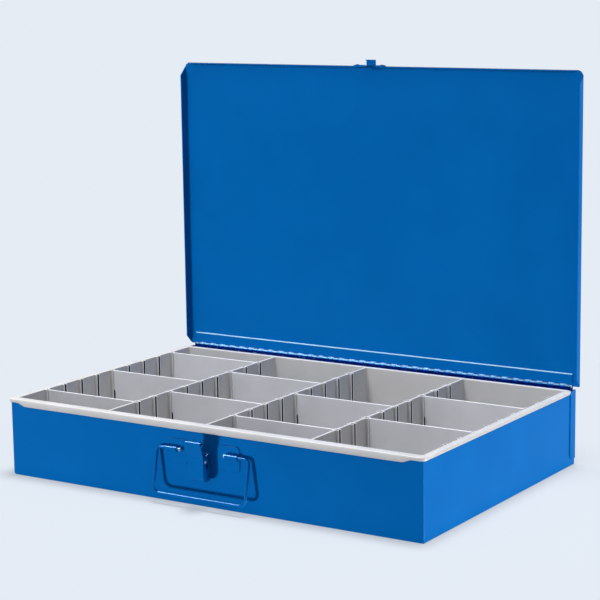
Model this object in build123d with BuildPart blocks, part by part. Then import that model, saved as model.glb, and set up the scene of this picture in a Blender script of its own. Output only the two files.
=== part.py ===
# Steel small-parts case: a folded sheet-steel box with a full-length hinged lid, a wire bail
# handle, a lever latch, and a lift-out moulded tray with removable cross dividers.
#
# Frame: millimetres, +Z up, the front faces -Y, origin at the centre of the case's underside.
# The lid stands open at a right angle, the tray and its dividers are seated, the bail hangs and
# the latch lever leans on its stop.
from build123d import *

import os
from math import cos, radians, sin

# ---- Case shell and rear panel -------------------------------------------------------------
case_width = 457.2
case_depth = 304.8
case_wall_height = 75.0
case_sheet = 0.9
case_bend_radius = 1.5
rear_tab_width = 12.7
rear_tab_bottom = 7.0
rear_tab_corner_radius = 5.0
ledge_depth = 11.0
ledge_side_gap = 0.2

# ---- Full-length hinge ---------------------------------------------------------------------
pin_diameter = 2.4
pin_clearance = 0.05
leaf_sheet = 0.9
lid_leaf_reach = 13.2
knuckle_length = 6.35
knuckle_gap = 0.3
knuckle_relief = 0.4
hinge_end_gap = 3.0

# ---- Lid -----------------------------------------------------------------------------------
lid_sheet = 0.9
lid_flange_depth = 9.0
lid_corner_cut = 4.4
lid_side_clearance = 1.4
lid_front_clearance = 1.05
lid_stop_gap = 0.2
lid_edge_above_pin = 0.4
lid_tail_below_pin = 6.0

# ---- Moulded tray --------------------------------------------------------------------------
rim_thickness = 1.2
rim_side_overhang = 2.4
rim_front_overhang = 2.8
rim_rear_gap = 0.4
rim_corner_radius = 6.0
rim_edge_radius = 0.5
lip_thickness = 1.3
lip_side_depth = 3.2
lip_front_depth = 6.2
lip_step_start = 23.0
lip_step_end = 12.0
tray_floor_gap = 0.4
tray_floor = 1.8
tray_wall = 1.8
tray_bottom_radius = 3.0
column_count = 4
column_side_inset = 4.5
column_front_inset = 6.8
column_rear_inset = 15.9
column_corner_radius = 2.0
partition_thickness = 2.4

# ---- Divider slots and dividers ------------------------------------------------------------
slot_pitch = 26.0
slot_rear_inset = 32.5
slot_front_inset = 35.0
slot_gap = 2.0
rib_width = 1.5
rib_reach = 2.8
divider_thickness = 1.5
divider_end_gap = 0.4
divider_floor_gap = 0.3
divider_top_drop = 0.3
divider_corner_radius = 2.0
divider_ear_height = 17.6
divider_shoulder_height = 5.2
divider_foot_inset = 4.1
# For each column, from the front: where the divider stands along the row of slots, from 0 at the
# first to 1 at the last, and which of its ends has the shoulder, -1 for left and 1 for right.
divider_places = {
    1: ((0, 1), (0.5, -1), (1, 1)),
    2: ((0.25, -1), (0.75, 1)),
    3: ((0, 1), (0.5, -1)),
    4: ((0.25, 1), (0.75, -1)),
}

# ---- Bail handle and its plates ------------------------------------------------------------
bail_wire = 3.0
bail_wire_clearance = 0.06
bail_width = 102.2
bail_drop = 42.3
bail_lean = 10.5
bail_bottom_radius = 6.5
bail_top_radius = 4.5
bail_head_diameter = 4.2
bail_head_length = 1.6
bail_end_float = 1.6
bail_aside = 1.2
plate_sheet = 0.9
plate_width = 23.8
plate_height = 23.5
plate_spacing = 57.4
plate_centre_height = 49.1
plate_corner_radius = 4.0
curl_length = 13.6
curl_above_centre = 2.5

# ---- Latch ---------------------------------------------------------------------------------
latch_sheet = 0.9
lever_width = 17.0
lever_standoff = 12.5
lever_bottom = 26.5
lever_top = 62.8
lever_flare = 4.6
lever_bottom_radius = 4.5
lever_cheek_above_pin = 5.0
lever_cheek_ledge = 5.2
lever_heel_height = 37.2
lever_heel_gap = 0.3
lever_toe_height = 29.0
lever_toe_inset = 1.3
lever_floor_inset = 3.7
lever_window_width = 3.0
lever_window_height = 5.0
lever_window_aside = 3.1
lever_window_below = 4.0
roll_radius = 1.9
nose_width = 9.0
nose_height = 59.0
nose_thickness = 1.2
nose_reach = 3.6
latch_pin_diameter = 2.0
latch_pin_height = 45.0
latch_pin_inset = 2.4
latch_pin_clearance = 0.05
latch_pin_head_diameter = 3.2
latch_pin_head_length = 0.6
latch_pin_end_float = 0.2
bracket_side_gap = 1.3
bracket_bottom = 39.5
bracket_top = 51.0
bracket_eye_gap = 0.4

# ---- Lid catch -----------------------------------------------------------------------------
catch_sheet = 0.9
catch_width = 35.0
catch_edge_inset = 0.6
tongue_width = 9.2
tongue_length = 22.2
tongue_lip = 1.3
thumb_tab_width = 10.6
thumb_tab_reach = 5.4
thumb_tab_lip = 1.6
catch_rivet_spacing = 28.6
catch_rivet_diameter = 3.0
catch_rivet_head = 4.6
catch_rivet_head_height = 0.8

# ---- Derived places ------------------------------------------------------------------------
half_width = case_width / 2
front_y = -case_depth / 2
rear_y = case_depth / 2
ledge_front_y = rear_y - ledge_depth

knuckle_bore_radius = pin_diameter / 2 + pin_clearance
knuckle_radius = knuckle_bore_radius + leaf_sheet
pin_y = rear_y + lid_stop_gap - knuckle_radius
pin_z = case_wall_height + knuckle_radius
knuckle_count = 2 * int((case_width - 2 * hinge_end_gap - knuckle_length) / (2 * knuckle_length)) + 1
hinge_length = knuckle_count * knuckle_length

rim_half_width = half_width + rim_side_overhang
rim_front_y = front_y - rim_front_overhang
rim_rear_y = ledge_front_y - rim_rear_gap
rim_top = case_wall_height + rim_thickness
rim_length = rim_rear_y - rim_front_y
rim_centre_y = (rim_rear_y + rim_front_y) / 2

columns_width = case_width - 2 * column_side_inset
column_width = (columns_width + partition_thickness) / column_count - partition_thickness
column_pitch = column_width + partition_thickness
column_front_y = front_y + column_front_inset
column_rear_y = rear_y - column_rear_inset
column_length = column_rear_y - column_front_y
column_centre_y = (column_rear_y + column_front_y) / 2
column_centres = [column_pitch * (i - (column_count - 1) / 2) for i in range(column_count)]
tray_bottom = case_sheet + tray_floor_gap
tray_floor_top = tray_bottom + tray_floor
last_slot_y = column_rear_y - slot_rear_inset
slot_steps = int((column_length - slot_rear_inset - slot_front_inset) / slot_pitch)
slot_centres = [last_slot_y - slot_pitch * (slot_steps - i) for i in range(slot_steps + 1)]

lid_half_width = rim_half_width + lid_side_clearance + lid_sheet
lid_inner_y = pin_y + knuckle_radius
lid_outer_y = lid_inner_y + lid_sheet
lid_free_y = lid_outer_y - lid_flange_depth
lid_closed_front = -rim_front_y + lid_front_clearance + lid_sheet
lid_bottom = pin_z + lid_edge_above_pin
lid_top = pin_z + pin_y + lid_closed_front
lid_side_top = lid_top - lid_corner_cut

catch_face_z = lid_top + catch_sheet
catch_rear_y = lid_outer_y - catch_edge_inset
catch_front_y = lid_free_y + catch_edge_inset
catch_rivet_y = (catch_rear_y + catch_front_y) / 2
catch_rivet_places = [(side * catch_rivet_spacing / 2, catch_rivet_y) for side in (-1, 1)]

plate_face_y = front_y - plate_sheet
curl_bore_radius = bail_wire / 2 + bail_wire_clearance
curl_radius = curl_bore_radius + plate_sheet
bail_pivot_y = plate_face_y - curl_radius
bail_pivot_z = plate_centre_height + curl_above_centre
plate_outer_x = (plate_spacing + plate_width) / 2
curl_inner_x = plate_outer_x - curl_length

lever_cheek_height = latch_pin_height + lever_cheek_above_pin
lever_outer_y = front_y - lever_standoff
lever_inner_y = lever_outer_y + latch_sheet
latch_pin_y = lever_inner_y + latch_pin_inset
cheek_inner_x = lever_width / 2 - latch_sheet
bracket_half_width = cheek_inner_x - bracket_side_gap
bracket_eye_radius = latch_pin_inset - bracket_eye_gap
latch_pin_hole = latch_pin_diameter / 2 + latch_pin_clearance


def export(piece, name):
    """Label a finished piece and write it under its own name."""
    piece.label = name
    export_step(piece, f"parts/{name}.step")


def edges_near(part, axis, **place):
    """Edges parallel to an axis whose centre has the given X, Y or Z coordinates."""
    chosen = part.edges().filter_by(axis)
    for letter, value in place.items():
        chosen = chosen.filter_by(lambda e, k=letter, v=value: abs(getattr(e.center(), k) - v) < 0.01)
    return chosen


os.makedirs("parts", exist_ok=True)

# ---- Case shell: bottom, front wall and two side walls folded from one sheet ----------------
shell_length = case_depth - case_sheet
with BuildPart() as case_shell:
    with BuildSketch():
        with Locations((0, -case_sheet / 2)):
            Rectangle(case_width, shell_length)
    extrude(amount=case_wall_height)
    front_corners = edges_near(case_shell, Axis.Z, Y=front_y)
    fillet(front_corners, case_bend_radius)
    bottom_rim = case_shell.faces().sort_by(Axis.Z)[0].edges().filter_by(
        lambda e: e.center().Y < rear_y - 2 * case_sheet)
    fillet(bottom_rim, case_bend_radius)
    with BuildSketch(Plane.XY.offset(case_sheet)):
        with Locations((0, case_sheet)):
            RectangleRounded(case_width - 2 * case_sheet, case_depth, case_bend_radius - case_sheet)
        with Locations((0, rear_y)):
            Rectangle(case_width - 2 * case_sheet, 4 * case_bend_radius)
    extrude(amount=case_wall_height, mode=Mode.SUBTRACT)
export(case_shell.part, "case_shell")

# ---- Rear panel: back wall, side tabs that wrap the walls, and the hinge ledge --------------
with BuildPart() as rear_panel:
    with BuildSketch(Plane.XZ.offset(-rear_y)):
        with BuildLine():
            Polyline(
                (-half_width, 0),
                (half_width, 0),
                (half_width, rear_tab_bottom),
                (half_width + case_sheet, rear_tab_bottom),
                (half_width + case_sheet, case_wall_height),
                (-half_width - case_sheet, case_wall_height),
                (-half_width - case_sheet, rear_tab_bottom),
                (-half_width, rear_tab_bottom),
                close=True)
        make_face()
    extrude(amount=case_sheet)
    with BuildSketch(Plane.YZ.offset(-half_width - case_sheet), Plane.YZ.offset(half_width)):
        with Locations((rear_y - rear_tab_width / 2, (rear_tab_bottom + case_wall_height) / 2)):
            Rectangle(rear_tab_width, case_wall_height - rear_tab_bottom)
    extrude(amount=case_sheet)
    tab_corners = rear_panel.edges().filter_by(Axis.X).filter_by(
        lambda e: abs(e.center().Y - rear_y + rear_tab_width) < 0.01
        and abs(e.center().Z - rear_tab_bottom) < 0.01)
    fillet(tab_corners, rear_tab_corner_radius)
    with BuildSketch(Plane.XY.offset(case_wall_height - case_sheet)):
        with Locations((0, rear_y - ledge_depth / 2)):
            Rectangle(case_width - 2 * (case_sheet + ledge_side_gap), ledge_depth)
    extrude(amount=case_sheet)
    fillet(edges_near(rear_panel, Axis.Z, Y=rear_y, X=half_width + case_sheet), case_bend_radius)
    fillet(edges_near(rear_panel, Axis.Z, Y=rear_y, X=-half_width - case_sheet), case_bend_radius)
export(rear_panel.part, "rear_panel")


# ---- Hinge: two combed leaves on one pin ----------------------------------------------------
def hinge_leaf(plane, reach, first_knuckle):
    """One leaf. The plane sits on the pin, its x runs along the leaf and its y away from it."""
    strip_start = knuckle_radius + knuckle_relief
    strip_length = reach - strip_start
    knuckle_ends = range(first_knuckle, knuckle_count, 2)
    middle = (knuckle_count - 1) / 2
    knuckle_planes = [plane.offset((i - middle) * knuckle_length) for i in knuckle_ends]
    with BuildPart() as leaf:
        with BuildSketch(plane):
            with Locations((strip_start + strip_length / 2, -knuckle_radius + leaf_sheet / 2)):
                Rectangle(strip_length, leaf_sheet)
        extrude(amount=hinge_length / 2, both=True)
        with BuildSketch(*knuckle_planes):
            Circle(knuckle_radius)
            with Locations((strip_start / 2, -knuckle_radius + leaf_sheet / 2)):
                Rectangle(strip_start, leaf_sheet)
            Circle(knuckle_bore_radius, mode=Mode.SUBTRACT)
        extrude(amount=(knuckle_length - knuckle_gap) / 2, both=True)
    return leaf.part


case_leaf_plane = Plane(origin=(0, pin_y, pin_z), x_dir=(0, -1, 0), z_dir=(-1, 0, 0))
lid_leaf_plane = Plane(origin=(0, pin_y, pin_z), x_dir=(0, 0, 1), z_dir=(1, 0, 0))
export(hinge_leaf(case_leaf_plane, pin_y - ledge_front_y, 0), "case_hinge_leaf")
export(hinge_leaf(lid_leaf_plane, lid_leaf_reach, 1), "lid_hinge_leaf")

with BuildPart() as hinge_pin:
    with BuildSketch(Plane.YZ):
        with Locations((pin_y, pin_z)):
            Circle(pin_diameter / 2)
    extrude(amount=hinge_length / 2, both=True)
export(hinge_pin.part, "hinge_pin")

# ---- Lid: flat panel with three shallow flanges, standing open ------------------------------
with BuildPart() as lid_shell:
    with BuildSketch(Plane.XZ.offset(-lid_outer_y)):
        with BuildLine():
            Polyline(
                (-hinge_length / 2, pin_z - lid_tail_below_pin),
                (hinge_length / 2, pin_z - lid_tail_below_pin),
                (hinge_length / 2, lid_bottom),
                (lid_half_width, lid_bottom),
                (lid_half_width, lid_side_top),
                (lid_half_width - lid_corner_cut, lid_top),
                (-lid_half_width + lid_corner_cut, lid_top),
                (-lid_half_width, lid_side_top),
                (-lid_half_width, lid_bottom),
                (-hinge_length / 2, lid_bottom),
                close=True)
        make_face()
    extrude(amount=lid_sheet)
    with BuildSketch(Plane.YZ.offset(-lid_half_width), Plane.YZ.offset(lid_half_width - lid_sheet)):
        with BuildLine():
            Polyline(
                (lid_outer_y, lid_bottom),
                (lid_outer_y, lid_side_top),
                (lid_free_y, lid_side_top - lid_flange_depth),
                (lid_free_y, lid_bottom + lid_flange_depth),
                close=True)
        make_face()
    extrude(amount=lid_sheet)
    front_flange_half = lid_half_width - lid_corner_cut
    with BuildSketch(Plane.XY.offset(lid_top - lid_sheet)):
        with BuildLine():
            Polyline(
                (-front_flange_half, lid_outer_y),
                (front_flange_half, lid_outer_y),
                (front_flange_half - lid_flange_depth, lid_free_y),
                (-front_flange_half + lid_flange_depth, lid_free_y),
                close=True)
        make_face()
        with Locations(*catch_rivet_places):
            Circle(catch_rivet_diameter / 2, mode=Mode.SUBTRACT)
    extrude(amount=lid_sheet)
    for side in (-1, 1):
        fillet(edges_near(lid_shell, Axis.Z, X=side * lid_half_width, Y=lid_outer_y), case_bend_radius)
    fillet(edges_near(lid_shell, Axis.X, Y=lid_outer_y, Z=lid_top), case_bend_radius)
export(lid_shell.part, "lid_shell")

# ---- Lid catch: riveted plate with a thumb tab and a hooked tongue --------------------------
tongue_end_y = catch_rear_y - tongue_length
with BuildPart() as lid_catch:
    with BuildSketch(Plane.XY.offset(lid_top)):
        with Locations((0, (catch_rear_y + catch_front_y) / 2)):
            RectangleRounded(catch_width, catch_rear_y - catch_front_y, 2 * catch_sheet)
        with Locations((0, (catch_rear_y + tongue_end_y) / 2)):
            Rectangle(tongue_width, catch_rear_y - tongue_end_y)
        with Locations(*catch_rivet_places):
            Circle(catch_rivet_diameter / 2, mode=Mode.SUBTRACT)
    extrude(amount=catch_sheet)
    with BuildSketch(Plane.XY.offset(catch_face_z)):
        with Locations((0, tongue_end_y + catch_sheet / 2)):
            Rectangle(tongue_width, catch_sheet)
    extrude(amount=tongue_lip)
    with BuildSketch(Plane.XY.offset(catch_face_z)):
        with Locations((0, catch_rear_y - catch_sheet / 2)):
            Rectangle(thumb_tab_width, catch_sheet)
    extrude(amount=thumb_tab_reach)
    with BuildSketch(Plane.XY.offset(catch_face_z + thumb_tab_reach - catch_sheet)):
        with Locations((0, catch_rear_y - catch_sheet - thumb_tab_lip / 2)):
            Rectangle(thumb_tab_width, thumb_tab_lip)
    extrude(amount=catch_sheet)
    fillet(edges_near(lid_catch, Axis.X, Y=catch_rear_y, Z=catch_face_z + thumb_tab_reach), catch_sheet)
export(lid_catch.part, "lid_catch")

with BuildPart() as catch_rivets:
    with BuildSketch(Plane.XY.offset(lid_top - lid_sheet)):
        with Locations(*catch_rivet_places):
            Circle(catch_rivet_diameter / 2)
    extrude(amount=lid_sheet + catch_sheet)
    rivet_head_planes = (
        Plane.XY.offset(catch_face_z), Plane.XY.offset(lid_top - lid_sheet - catch_rivet_head_height))
    with BuildSketch(*rivet_head_planes):
        with Locations(*catch_rivet_places):
            Circle(catch_rivet_head / 2)
    extrude(amount=catch_rivet_head_height)
export(catch_rivets.part, "catch_rivets")


# ---- Handle plates: spot-welded sheets with a curl that holds each end of the bail ----------
def handle_plate(side):
    """The plate on one side of the latch, side -1 left and +1 right."""
    curl_start_x = side * curl_inner_x if side > 0 else -plate_outer_x
    with BuildPart() as plate:
        with BuildSketch(Plane.XZ.offset(-front_y)):
            with Locations((side * plate_spacing / 2, plate_centre_height)):
                RectangleRounded(plate_width, plate_height, plate_corner_radius)
        extrude(amount=plate_sheet)
        with BuildSketch(Plane.YZ.offset(curl_start_x)):
            with Locations((bail_pivot_y, bail_pivot_z)):
                Circle(curl_radius)
            with Locations((bail_pivot_y + curl_radius / 2, bail_pivot_z + curl_radius - plate_sheet / 2)):
                Rectangle(curl_radius, plate_sheet)
            with Locations((bail_pivot_y, bail_pivot_z)):
                Circle(curl_bore_radius, mode=Mode.SUBTRACT)
        extrude(amount=curl_length)
    return plate.part


export(handle_plate(-1), "handle_plate_left")
export(handle_plate(1), "handle_plate_right")

# ---- Bail: one bent wire whose headed ends turn in the curls --------------------------------
bail_half = bail_width / 2
bail_end_x = curl_inner_x - bail_end_float
lean = radians(bail_lean)
bail_plane = Plane(
    origin=(0, bail_pivot_y, bail_pivot_z), x_dir=(1, 0, 0), z_dir=(0, -cos(lean), sin(lean)))
with BuildPart() as bail_handle:
    with BuildLine(bail_plane) as bail_path:
        FilletPolyline(
            (bail_aside - bail_end_x, 0),
            (bail_aside - bail_half, 0),
            (bail_aside - bail_half, -bail_drop),
            (bail_aside + bail_half, -bail_drop),
            (bail_aside + bail_half, 0),
            (bail_aside + bail_end_x, 0),
            radius=(bail_top_radius, bail_bottom_radius, bail_bottom_radius, bail_top_radius))
    with BuildSketch(Plane.YZ.offset(bail_aside - bail_end_x)):
        with Locations((bail_pivot_y, bail_pivot_z)):
            Circle(bail_wire / 2)
    sweep(path=bail_path.wire())
    head_planes = (
        Plane.YZ.offset(bail_aside - bail_end_x), Plane.YZ.offset(bail_aside + bail_end_x - bail_head_length))
    with BuildSketch(*head_planes):
        with Locations((bail_pivot_y, bail_pivot_z)):
            Circle(bail_head_diameter / 2)
    extrude(amount=bail_head_length)
export(bail_handle.part, "bail_handle")

# ---- Latch bracket: a channel on the front wall whose two ears carry the pin ----------------
with BuildPart() as latch_bracket:
    with BuildSketch(Plane.XZ.offset(-front_y)):
        with Locations((0, (bracket_bottom + bracket_top) / 2)):
            Rectangle(2 * bracket_half_width, bracket_top - bracket_bottom)
    extrude(amount=latch_sheet)
    ear_planes = (Plane.YZ.offset(-bracket_half_width), Plane.YZ.offset(bracket_half_width - latch_sheet))
    with BuildSketch(*ear_planes):
        with BuildLine():
            Polyline(
                (front_y, bracket_bottom),
                (front_y, bracket_top),
                (front_y - latch_sheet, bracket_top),
                (latch_pin_y, latch_pin_height + bracket_eye_radius),
                (latch_pin_y, latch_pin_height - bracket_eye_radius),
                (front_y - latch_sheet, bracket_bottom),
                close=True)
        make_face()
        with Locations((latch_pin_y, latch_pin_height)):
            Circle(bracket_eye_radius)
            Circle(latch_pin_hole, mode=Mode.SUBTRACT)
    extrude(amount=latch_sheet)
export(latch_bracket.part, "latch_bracket")

# ---- Latch lever: folded plate with a thumb roll, two cheeks, a closed toe and a hook -------
lever_bend_y = lever_outer_y + lever_bottom_radius
lever_bend_z = lever_bottom + lever_bottom_radius
lever_floor_end = front_y - lever_floor_inset
nose_rise = (nose_height - lever_cheek_height) / (lever_top - lever_cheek_height)
nose_root_y = lever_inner_y - lever_flare * nose_rise - latch_sheet / 2
with BuildPart() as latch_lever:
    with BuildSketch(Plane.YZ):
        with BuildLine():
            Polyline(
                (lever_outer_y - lever_flare, lever_top),
                (lever_outer_y, lever_cheek_height),
                (lever_outer_y, lever_bend_z))
            CenterArc((lever_bend_y, lever_bend_z), lever_bottom_radius, 180, 90)
            Polyline(
                (lever_bend_y, lever_bottom),
                (lever_floor_end, lever_bottom),
                (lever_floor_end, lever_bottom + latch_sheet),
                (lever_bend_y, lever_bottom + latch_sheet))
            CenterArc((lever_bend_y, lever_bend_z), lever_bottom_radius - latch_sheet, 180, 90)
            Polyline(
                (lever_inner_y, lever_bend_z),
                (lever_inner_y, lever_cheek_height),
                (lever_inner_y - lever_flare, lever_top),
                (lever_outer_y - lever_flare, lever_top))
        make_face()
        with Locations((lever_outer_y - lever_flare + roll_radius, lever_top)):
            Circle(roll_radius)
            Circle(roll_radius - latch_sheet, mode=Mode.SUBTRACT)
    extrude(amount=lever_width / 2, both=True)
    with BuildSketch(Plane.YZ.offset(-lever_width / 2), Plane.YZ.offset(cheek_inner_x)):
        with BuildLine():
            Polyline(
                (lever_outer_y, lever_bend_z),
                (lever_outer_y, lever_cheek_height),
                (lever_inner_y + lever_cheek_ledge, lever_cheek_height),
                (front_y - lever_heel_gap, lever_heel_height),
                (front_y - lever_toe_inset, lever_toe_height),
                (lever_floor_end, lever_bottom),
                (lever_bend_y, lever_bottom))
            CenterArc((lever_bend_y, lever_bend_z), lever_bottom_radius, 180, 90)
        make_face()
        with Locations((latch_pin_y, latch_pin_height)):
            Circle(latch_pin_hole, mode=Mode.SUBTRACT)
        with Locations((latch_pin_y + lever_window_aside, latch_pin_height - lever_window_below)):
            Rectangle(lever_window_width, lever_window_height, mode=Mode.SUBTRACT)
    extrude(amount=latch_sheet)
    with BuildSketch(Plane.XY.offset(nose_height)):
        with Locations((0, (lever_inner_y + nose_reach + nose_root_y) / 2)):
            Rectangle(nose_width, lever_inner_y + nose_reach - nose_root_y)
    extrude(amount=nose_thickness)
export(latch_lever.part, "latch_lever")

latch_pin_half = lever_width / 2 + latch_pin_end_float
with BuildPart() as latch_pin:
    with BuildSketch(Plane.YZ):
        with Locations((latch_pin_y, latch_pin_height)):
            Circle(latch_pin_diameter / 2)
    extrude(amount=latch_pin_half + latch_pin_head_length, both=True)
    head_planes = (Plane.YZ.offset(-latch_pin_half - latch_pin_head_length), Plane.YZ.offset(latch_pin_half))
    with BuildSketch(*head_planes):
        with Locations((latch_pin_y, latch_pin_height)):
            Circle(latch_pin_head_diameter / 2)
    extrude(amount=latch_pin_head_length)
export(latch_pin.part, "latch_pin")

# ---- Tray: moulded tub with three partitions, slotted column walls and a hanging rim --------
lip_step_outer_x = rim_half_width - lip_step_end
lip_step_inner_x = rim_half_width - lip_step_start
lip_front_z = rim_top - lip_front_depth
lip_side_z = rim_top - lip_side_depth
with BuildPart() as tray_insert:
    with BuildSketch(Plane.XY.offset(lip_front_z)):
        with Locations((0, rim_centre_y)):
            RectangleRounded(2 * rim_half_width, rim_length, rim_corner_radius)
        with Locations((0, rim_centre_y + rim_length / 2)):
            RectangleRounded(
                2 * (rim_half_width - lip_thickness),
                2 * (rim_length - lip_thickness),
                rim_corner_radius - lip_thickness,
                mode=Mode.SUBTRACT)
    extrude(amount=case_wall_height - lip_front_z)
    for side in (-1, 1):
        with BuildSketch(Plane.XZ.offset(-rim_centre_y)):
            with BuildLine():
                Spline(
                    (side * lip_step_outer_x, lip_side_z),
                    (side * lip_step_inner_x, lip_front_z),
                    tangents=((-side, 0), (-side, 0)))
                Polyline(
                    (side * lip_step_inner_x, lip_front_z),
                    (side * lip_step_inner_x, lip_front_z - lip_thickness),
                    (side * (rim_half_width + lip_thickness), lip_front_z - lip_thickness),
                    (side * (rim_half_width + lip_thickness), lip_side_z),
                    (side * lip_step_outer_x, lip_side_z))
            make_face()
        extrude(amount=rim_length, both=True, mode=Mode.SUBTRACT)
    with BuildSketch(Plane.XY.offset(case_wall_height)):
        with Locations((0, rim_centre_y)):
            RectangleRounded(2 * rim_half_width, rim_length, rim_corner_radius)
    extrude(amount=rim_thickness)
    with BuildSketch(Plane.XY.offset(tray_bottom)):
        with Locations((0, column_centre_y)):
            RectangleRounded(
                columns_width + 2 * tray_wall,
                column_length + 2 * tray_wall,
                column_corner_radius + tray_wall)
    extrude(amount=case_wall_height - tray_bottom)
    fillet(tray_insert.faces().sort_by(Axis.Z)[0].edges(), tray_bottom_radius)
    with BuildSketch(Plane.XY.offset(tray_floor_top)):
        with Locations(*[(x, column_centre_y) for x in column_centres]):
            RectangleRounded(column_width, column_length, column_corner_radius)
        rib_offset_x = (column_width - rib_reach) / 2
        rib_offset_y = (slot_gap + rib_width) / 2
        rib_places = [
            (x + side * rib_offset_x, y + end * rib_offset_y)
            for x in column_centres for y in slot_centres for side in (-1, 1) for end in (-1, 1)]
        with Locations(*rib_places):
            Rectangle(rib_reach, rib_width, mode=Mode.SUBTRACT)
    extrude(amount=rim_top, mode=Mode.SUBTRACT)
    fillet(tray_insert.faces().sort_by(Axis.Z)[-1].outer_wire().edges(), rim_edge_radius)
export(tray_insert.part, "tray_insert")

# ---- Dividers: flat plates dropped into the slots, one end stepped in below its ear ---------
divider_bottom = tray_floor_top + divider_floor_gap
divider_top = rim_top - divider_top_drop
divider_half = (column_width - 2 * divider_end_gap) / 2
foot_half = divider_half - divider_foot_inset
ear_bottom = divider_top - divider_ear_height
for column, places in divider_places.items():
    centre_x = column_centres[column - 1]
    for order, (station, end) in enumerate(places, start=1):
        slot_y = slot_centres[round(station * slot_steps)]
        with BuildPart() as divider:
            with BuildSketch(Plane.XZ.offset(-slot_y)) as divider_outline:
                with BuildLine():
                    Polyline(
                        (centre_x - end * divider_half, divider_bottom),
                        (centre_x - end * divider_half, divider_top),
                        (centre_x + end * divider_half, divider_top),
                        (centre_x + end * divider_half, ear_bottom),
                        (centre_x + end * foot_half, ear_bottom - divider_shoulder_height),
                        (centre_x + end * foot_half, divider_bottom),
                        close=True)
                make_face()
                fillet(divider_outline.vertices(), divider_corner_radius)
            extrude(amount=divider_thickness / 2, both=True)
        export(divider.part, f"divider_{column}_{order}")
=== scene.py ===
"""Looks of a folded-steel compartment case with a hinged lid, a bail handle and a divided tray.

Every piece is drawn in metres in the frame of the packed model and rides on its body, with the
lid open, the tray and its dividers seated, the bail hanging and the latch lever on its stop.
"""

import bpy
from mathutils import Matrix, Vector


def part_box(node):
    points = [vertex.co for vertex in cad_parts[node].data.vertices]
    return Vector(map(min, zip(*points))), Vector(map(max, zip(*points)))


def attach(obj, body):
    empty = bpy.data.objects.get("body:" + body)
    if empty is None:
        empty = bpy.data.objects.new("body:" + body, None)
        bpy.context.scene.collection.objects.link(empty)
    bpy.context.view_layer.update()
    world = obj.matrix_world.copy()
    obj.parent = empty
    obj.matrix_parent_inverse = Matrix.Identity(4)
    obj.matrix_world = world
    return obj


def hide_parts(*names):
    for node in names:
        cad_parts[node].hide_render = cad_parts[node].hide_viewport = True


bl_info = {
    "name": "Compartment case",
    "version": (1, 0, 0),
    "blender": (4, 5, 0),
    "location": "View3D > Sidebar > Compartment case",
    "description": "Builds the painted case, its hinge, lid, handle, latch, tray and dividers",
    "category": "Object",
}

from math import cos, pi, radians, sin, tan

import bmesh
import bpy
from bpy.props import FloatProperty, FloatVectorProperty, IntProperty, PointerProperty
from mathutils import Matrix, Vector

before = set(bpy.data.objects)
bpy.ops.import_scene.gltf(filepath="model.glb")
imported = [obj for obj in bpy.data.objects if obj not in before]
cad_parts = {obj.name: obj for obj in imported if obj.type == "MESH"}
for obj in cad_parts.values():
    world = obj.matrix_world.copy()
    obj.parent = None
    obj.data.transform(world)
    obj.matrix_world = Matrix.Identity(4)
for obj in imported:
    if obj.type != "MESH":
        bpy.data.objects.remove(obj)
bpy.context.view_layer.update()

MM = 0.001

# ---- Places read from the packed model ----
shell_low, shell_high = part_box("case_shell")
rear_low, rear_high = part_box("rear_panel")
pin_low, pin_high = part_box("hinge_pin")
case_leaf_low, case_leaf_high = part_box("case_hinge_leaf")
lid_leaf_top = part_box("lid_hinge_leaf")[1].z
lid_low, lid_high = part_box("lid_shell")
catch_low, catch_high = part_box("lid_catch")
bail_low, bail_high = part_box("bail_handle")
bracket_low, bracket_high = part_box("latch_bracket")
latch_pin_low, latch_pin_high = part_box("latch_pin")
lever_low, lever_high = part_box("latch_lever")
tray_low, tray_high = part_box("tray_insert")

half_width = shell_high.x
front_y = shell_low.y
rear_y = rear_high.y
wall_top = shell_high.z
pin_y = (pin_low.y + pin_high.y) / 2
pin_z = (pin_low.z + pin_high.z) / 2
latch_pin_y = (latch_pin_low.y + latch_pin_high.y) / 2
latch_pin_z = (latch_pin_low.z + latch_pin_high.z) / 2


# ---- Sizes and colours that a user would change ----
def linear_colour(code):
    """Linear values of a six-digit sRGB hex colour, and full opacity."""
    channels = [int(code[i:i + 2], 16) / 255 for i in (0, 2, 4)]
    return (*[c / 12.92 if c <= 0.04045 else ((c + 0.055) / 1.055) ** 2.4 for c in channels], 1.0)


def length(name, description, millimetres):
    """A length property given in millimetres and kept in metres."""
    return FloatProperty(
        name=name, description=description, default=millimetres * MM,
        min=0.0, precision=5, subtype="DISTANCE", unit="LENGTH")


def angle(name, description, degrees):
    """An angle property given in degrees and kept in radians."""
    return FloatProperty(
        name=name, description=description, default=radians(degrees), subtype="ANGLE", unit="ROTATION")


def power(name, description, watts):
    """The power of a lamp."""
    return FloatProperty(name=name, description=description, default=watts, unit="POWER")


def tint(name, description, code):
    """A colour property given as sRGB hex and kept linear."""
    return FloatVectorProperty(
        name=name, description=description, default=linear_colour(code),
        size=4, min=0.0, max=1.0, subtype="COLOR")


class CaseSizes(bpy.types.PropertyGroup):
    """Sizes of the folded case and the lid."""

    sheet: length("Sheet", "Thickness of the steel sheet", 0.9)
    bend: length("Bend radius", "Outer radius of each fold", 1.5)
    edge: length("Edge radius", "Rounding of cut edges by deburring and paint", 0.35)
    tab_height: length("Tab start", "Height at which the rear tabs begin", 7.0)
    tab_width: length("Tab width", "How far the rear panel wraps each side wall", 12.7)
    tab_corner: length("Tab corner", "Radius of each rear tab's lower corner", 5.0)
    ledge: length("Ledge depth", "Depth of the ledge that carries the hinge", 11.0)
    corner_cut: length("Lid corner cut", "Size of the 45 degree cut at the lid's corners", 4.4)


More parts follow.
